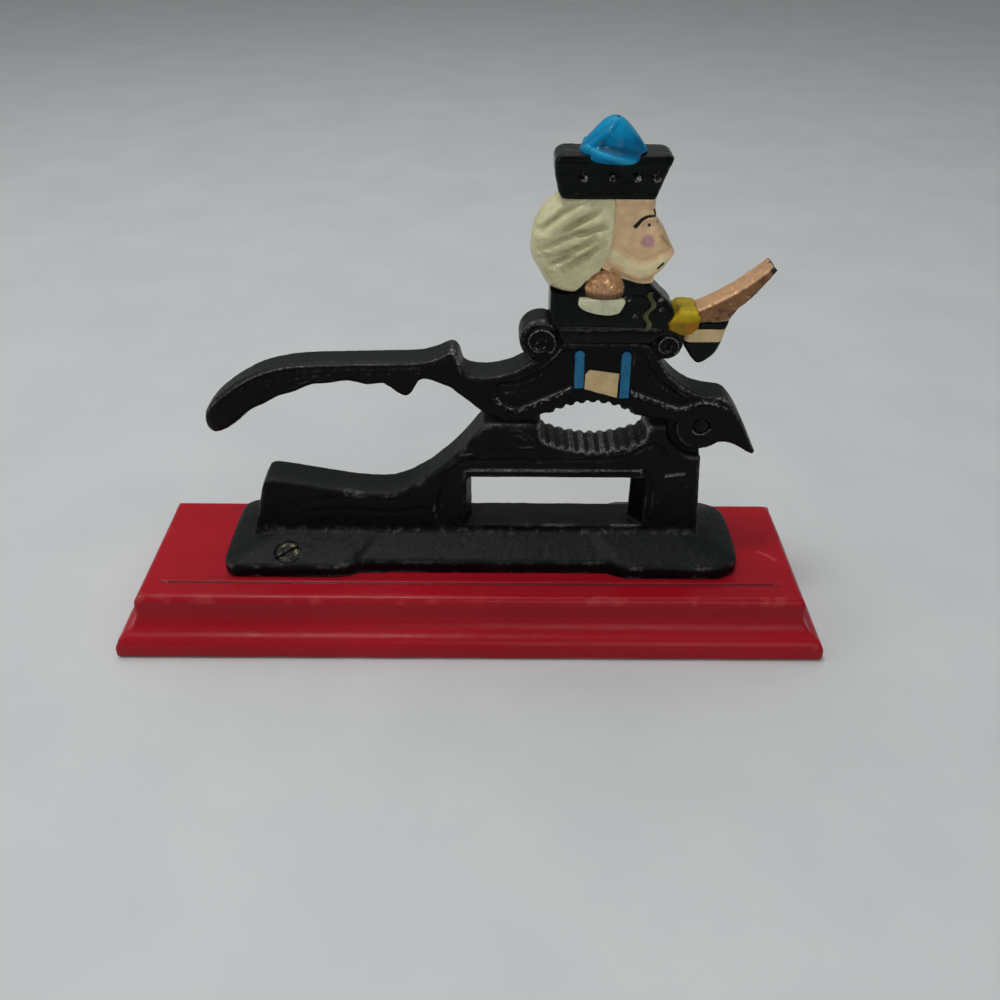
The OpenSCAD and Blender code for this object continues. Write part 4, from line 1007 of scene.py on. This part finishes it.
# The board's section, as the CAD has it: a rounded foot, an ovolo, a cove and a rounded top edge.
FOOT_R, FOOT_HEIGHT, OVOLO_R, COVE_R, TOP_R, OVOLO_TURN = 1.5, 4.0, 5.0, 7.5, 2.8, 65
UNDERSIDE = [(-33.0, 0), (-27.0, 0), (-21.0, 0), (-15.0, 0), (-9.0, 0), (-5.0, 0), (-2.5, 0)]
LONG_STEPS, SHORT_STEPS = 200, 60       # points along the board's sides
SCORE_IN, SCORE_REACH = 16.5, 112.0     # the scored line: in from the front edge, and half its length
CHIPS = [                               # place, reach and depth
    ((-117.8, -28.8, 21.6), 1.5, 0.5),
    ((124.8, -36.2, 5.5), 1.7, 0.5),
    ((-87.8, -29.6, 12.2), 1.3, 0.45),
    ((118.8, 29.5, 21.4), 1.6, 0.5),
    ((-125.6, -36.6, 6), 1.3, 0.4),
    ((-64.5, -38, 3.2), 0.9, 0.2),
]
SCRATCH = [(108.6, -1.6), (111.2, -3.4), (113.4, -6.2)]


def base_profile():
    """How far out from the edge, and how high, from under the board up to its top edge."""
    turn = math.radians(OVOLO_TURN)
    reach = OVOLO_R + COVE_R
    cove = (-OVOLO_R + reach * math.cos(turn), FOOT_HEIGHT + reach * math.sin(turn))
    top = (cove[0] - COVE_R - TOP_R, BOARD_TOP - TOP_R)
    points = UNDERSIDE + arc((-FOOT_R, FOOT_R), FOOT_R, -90, 0, 4) + [(0, 2.7)]
    points += arc((-OVOLO_R, FOOT_HEIGHT), OVOLO_R, 0, OVOLO_TURN, 9)
    points += arc(cove, COVE_R, 180 + OVOLO_TURN, 180, 13)[1:]
    if top[1] - cove[1] > 0.8:
        points.append((top[0] + TOP_R, (cove[1] + top[1]) / 2))
    return points + arc(top, TOP_R, 0, 90, 8)


def board_mesh():
    """The section swept round a mitred rectangle, with closer rings where the line is scored."""
    rings = base_profile()
    inset = -rings[-1][0]
    spacing = [*np.arange(inset + 1.2, SCORE_IN - 2, 1.2),
               *np.arange(SCORE_IN - 1.6, SCORE_IN + 1.7, 0.25),
               *np.arange(SCORE_IN + 2.6, BOARD_HALF_Y - 1, 1.6)]
    rings += [(-i, BOARD_TOP) for i in spacing]
    corners = [(-1, -1), (1, -1), (1, 1), (-1, 1)]
    points = []
    for out, z in rings:
        loop = [np.array([x * (BOARD_HALF_X + out), y * (BOARD_HALF_Y + out), z]) for x, y in corners]
        for k, steps in enumerate((LONG_STEPS, SHORT_STEPS, LONG_STEPS, SHORT_STEPS)):
            a, b = loop[k], loop[(k + 1) % 4]
            points += [a + (b - a) * t / steps for t in range(steps)]
    around = 2 * (LONG_STEPS + SHORT_STEPS)
    faces = []
    for i in range(len(rings) - 1):
        low, high = i * around, (i + 1) * around
        for j in range(around):
            k = (j + 1) % around
            faces.append((low + j, low + k, high + k, high + j))
    faces.append(tuple(range(around))[::-1])
    faces.append(tuple((len(rings) - 1) * around + j for j in range(around)))
    mesh = bpy.data.meshes.new("base_board")
    mesh.from_pydata([tuple(q * MM) for q in points], [], faces)
    mesh.polygons.foreach_set("use_smooth", [True] * (len(faces) - 2) + [False, False])
    return mesh


def make_base(material):
    """The moulded board, with its scored line, chips, a scratch, painted shade round the plate, in the
    scored line and at the foot, and painted highlights along the top edges.
    """
    mesh = board_mesh()
    piece = bpy.data.objects.new("base_board", mesh)
    scene.collection.objects.link(piece)
    skin = Skin(mesh)
    p = skin.p
    fixed = ((p[:, 2] < 0.01) | (np.abs(p[:, 1]) < 18)).astype(float)
    skin.relax(2, fixed)
    n = skin.normals()
    line = np.abs(p[:, 1] + BOARD_HALF_Y - SCORE_IN)
    scored = (np.abs(p[:, 0]) < SCORE_REACH) & (p[:, 2] > 20) & (line < 1.6)
    p[:, 2] -= np.where(scored, 0.62 * np.clip(1 - (line / 0.75) ** 2, 0, 1), 0)
    chip = np.zeros(len(p))
    for place, reach, deep in CHIPS:
        r = np.linalg.norm(p - place, axis=1) + 0.7 * noise(p, 1.3, 88)
        bite = step(reach - r, 0, 1.2)
        p -= n * (deep * bite)[:, None]
        chip = np.maximum(chip, bite)
    scratch, _ = away(p[:, [0, 1]], SCRATCH)
    nick = step(0.5 - scratch, 0, 0.3) * (p[:, 2] > 15)
    p += n * (0.1 * noise(p, 14, 86) + 0.035 * noise(p, 3, 87))[:, None] * (1 - fixed)[:, None]
    p[:, 2] = np.where(fixed > 0, p[:, 2], np.clip(p[:, 2], 0, BOARD_TOP))

    skin.keep_value("chip", chip)
    # painted highlight along the top edges
    rubbed_and_highlit = step(skin.bulge(3), 0.03, 0.09) * step(layered(p, 5, 89, 3), 0.25, 0.9) * (p[:, 2] > 19.5)
    skin.keep_value("rubbed_and_highlit", np.clip(0.2 * rubbed_and_highlit + 0.6 * nick, 0, 1))
    # painted shade at the foot, round the plate and in the scored line
    foot = step(1.4 - p[:, 2], 0, 1.2) * step(layered(p, 6, 90, 2), -0.4, 0.5)
    by_plate = np.exp(-((depth(p) - 21.6) / 0.9) ** 2) * (p[:, 2] > 21) * (np.abs(p[:, 0]) < 97)
    in_line = scored * step(0.75 - line, 0, 0.4)
    skin.keep_value("painted_shade", np.clip(0.5 * foot + 0.35 * by_plate + 0.8 * in_line, 0, 1))
    finish_piece(piece, skin, "wood_base", "frame", material)


def screw_metal():
    """Dulled brass, blackened by the paint that ran over it."""
    m = Paint("screw_brass", roughness=0.4, metallic=0.3, specular=0.2)
    bare = m.math("MULTIPLY", m.attribute("bare"), m.band(m.cloud(0.8, 4), 0.4, 0.56))
    m.colour(m.mix(bare, (0.005, 0.0055, 0.005), (0.26, 0.23, 0.115)))
    m.rough(m.band(m.cloud(0.6, 3), 0.3, 0.7, 0.28, 0.55))
    m.bump(m.cloud(0.5, 3), 0.12, 0.6)
    return m.material


def make_screws(material):
    """Screw heads with uneven overpaint, bare on a ring near the edge and in the middle."""
    piece, skin = remeshed("plate_screws", "screw_heads", 0.16)
    skin.relax(2)
    n = skin.normals()
    head = step(skin.p[:, 2], 26, 27)
    skin.p += n * (head * 0.09 * layered(skin.p, 1.4, 92, 2))[:, None]
    bare = np.zeros(len(skin.p))
    for hand in (-1, 1):
        mine = (skin.p[:, 0] * hand > 0) & (skin.p[:, 2] > 25)
        r = np.linalg.norm(skin.p[mine] - skin.p[mine].mean(axis=0), axis=1)
        ring = np.exp(-((r - 3.3) / 0.6) ** 2) + 0.5 * np.exp(-(r / 1.2) ** 2)
        bare[mine] = ring * step(noise(skin.p[mine], 2.4, 94), -0.5, 0.5)
    skin.keep_value("bare", np.clip(bare, 0, 1))
    finish_piece(piece, skin, "plate_screws", "frame", material)


def make_pin(material):
    """The pin's ends are peened to low domes with hammer marks."""
    piece, skin = remeshed("pivot_pin", "pin_ends", 0.2)
    skin.relax(2)
    n = skin.normals()
    p = skin.p
    r = np.linalg.norm(beside_pivot(p), axis=1)
    end = (depth(p) > 5.2) * np.clip(1 - (r / 2.9) ** 2, 0, 1)
    p += n * (end * (0.5 + 0.12 * layered(p, 1.1, 93, 2)))[:, None]
    finish_piece(piece, skin, "pivot_pin", "frame", material)


photo_camera()
studio()
black_iron = cast_black()
make_frame(black_iron)
make_lever(black_iron)
make_figure()
make_base(red_paint())
make_screws(screw_metal())
pin_black = enamel("pin_black", (0.002, 0.002, 0.003), (0.004, 0.004, 0.005), 0.35, 0.0, specular=0.12)
make_pin(pin_black.material)
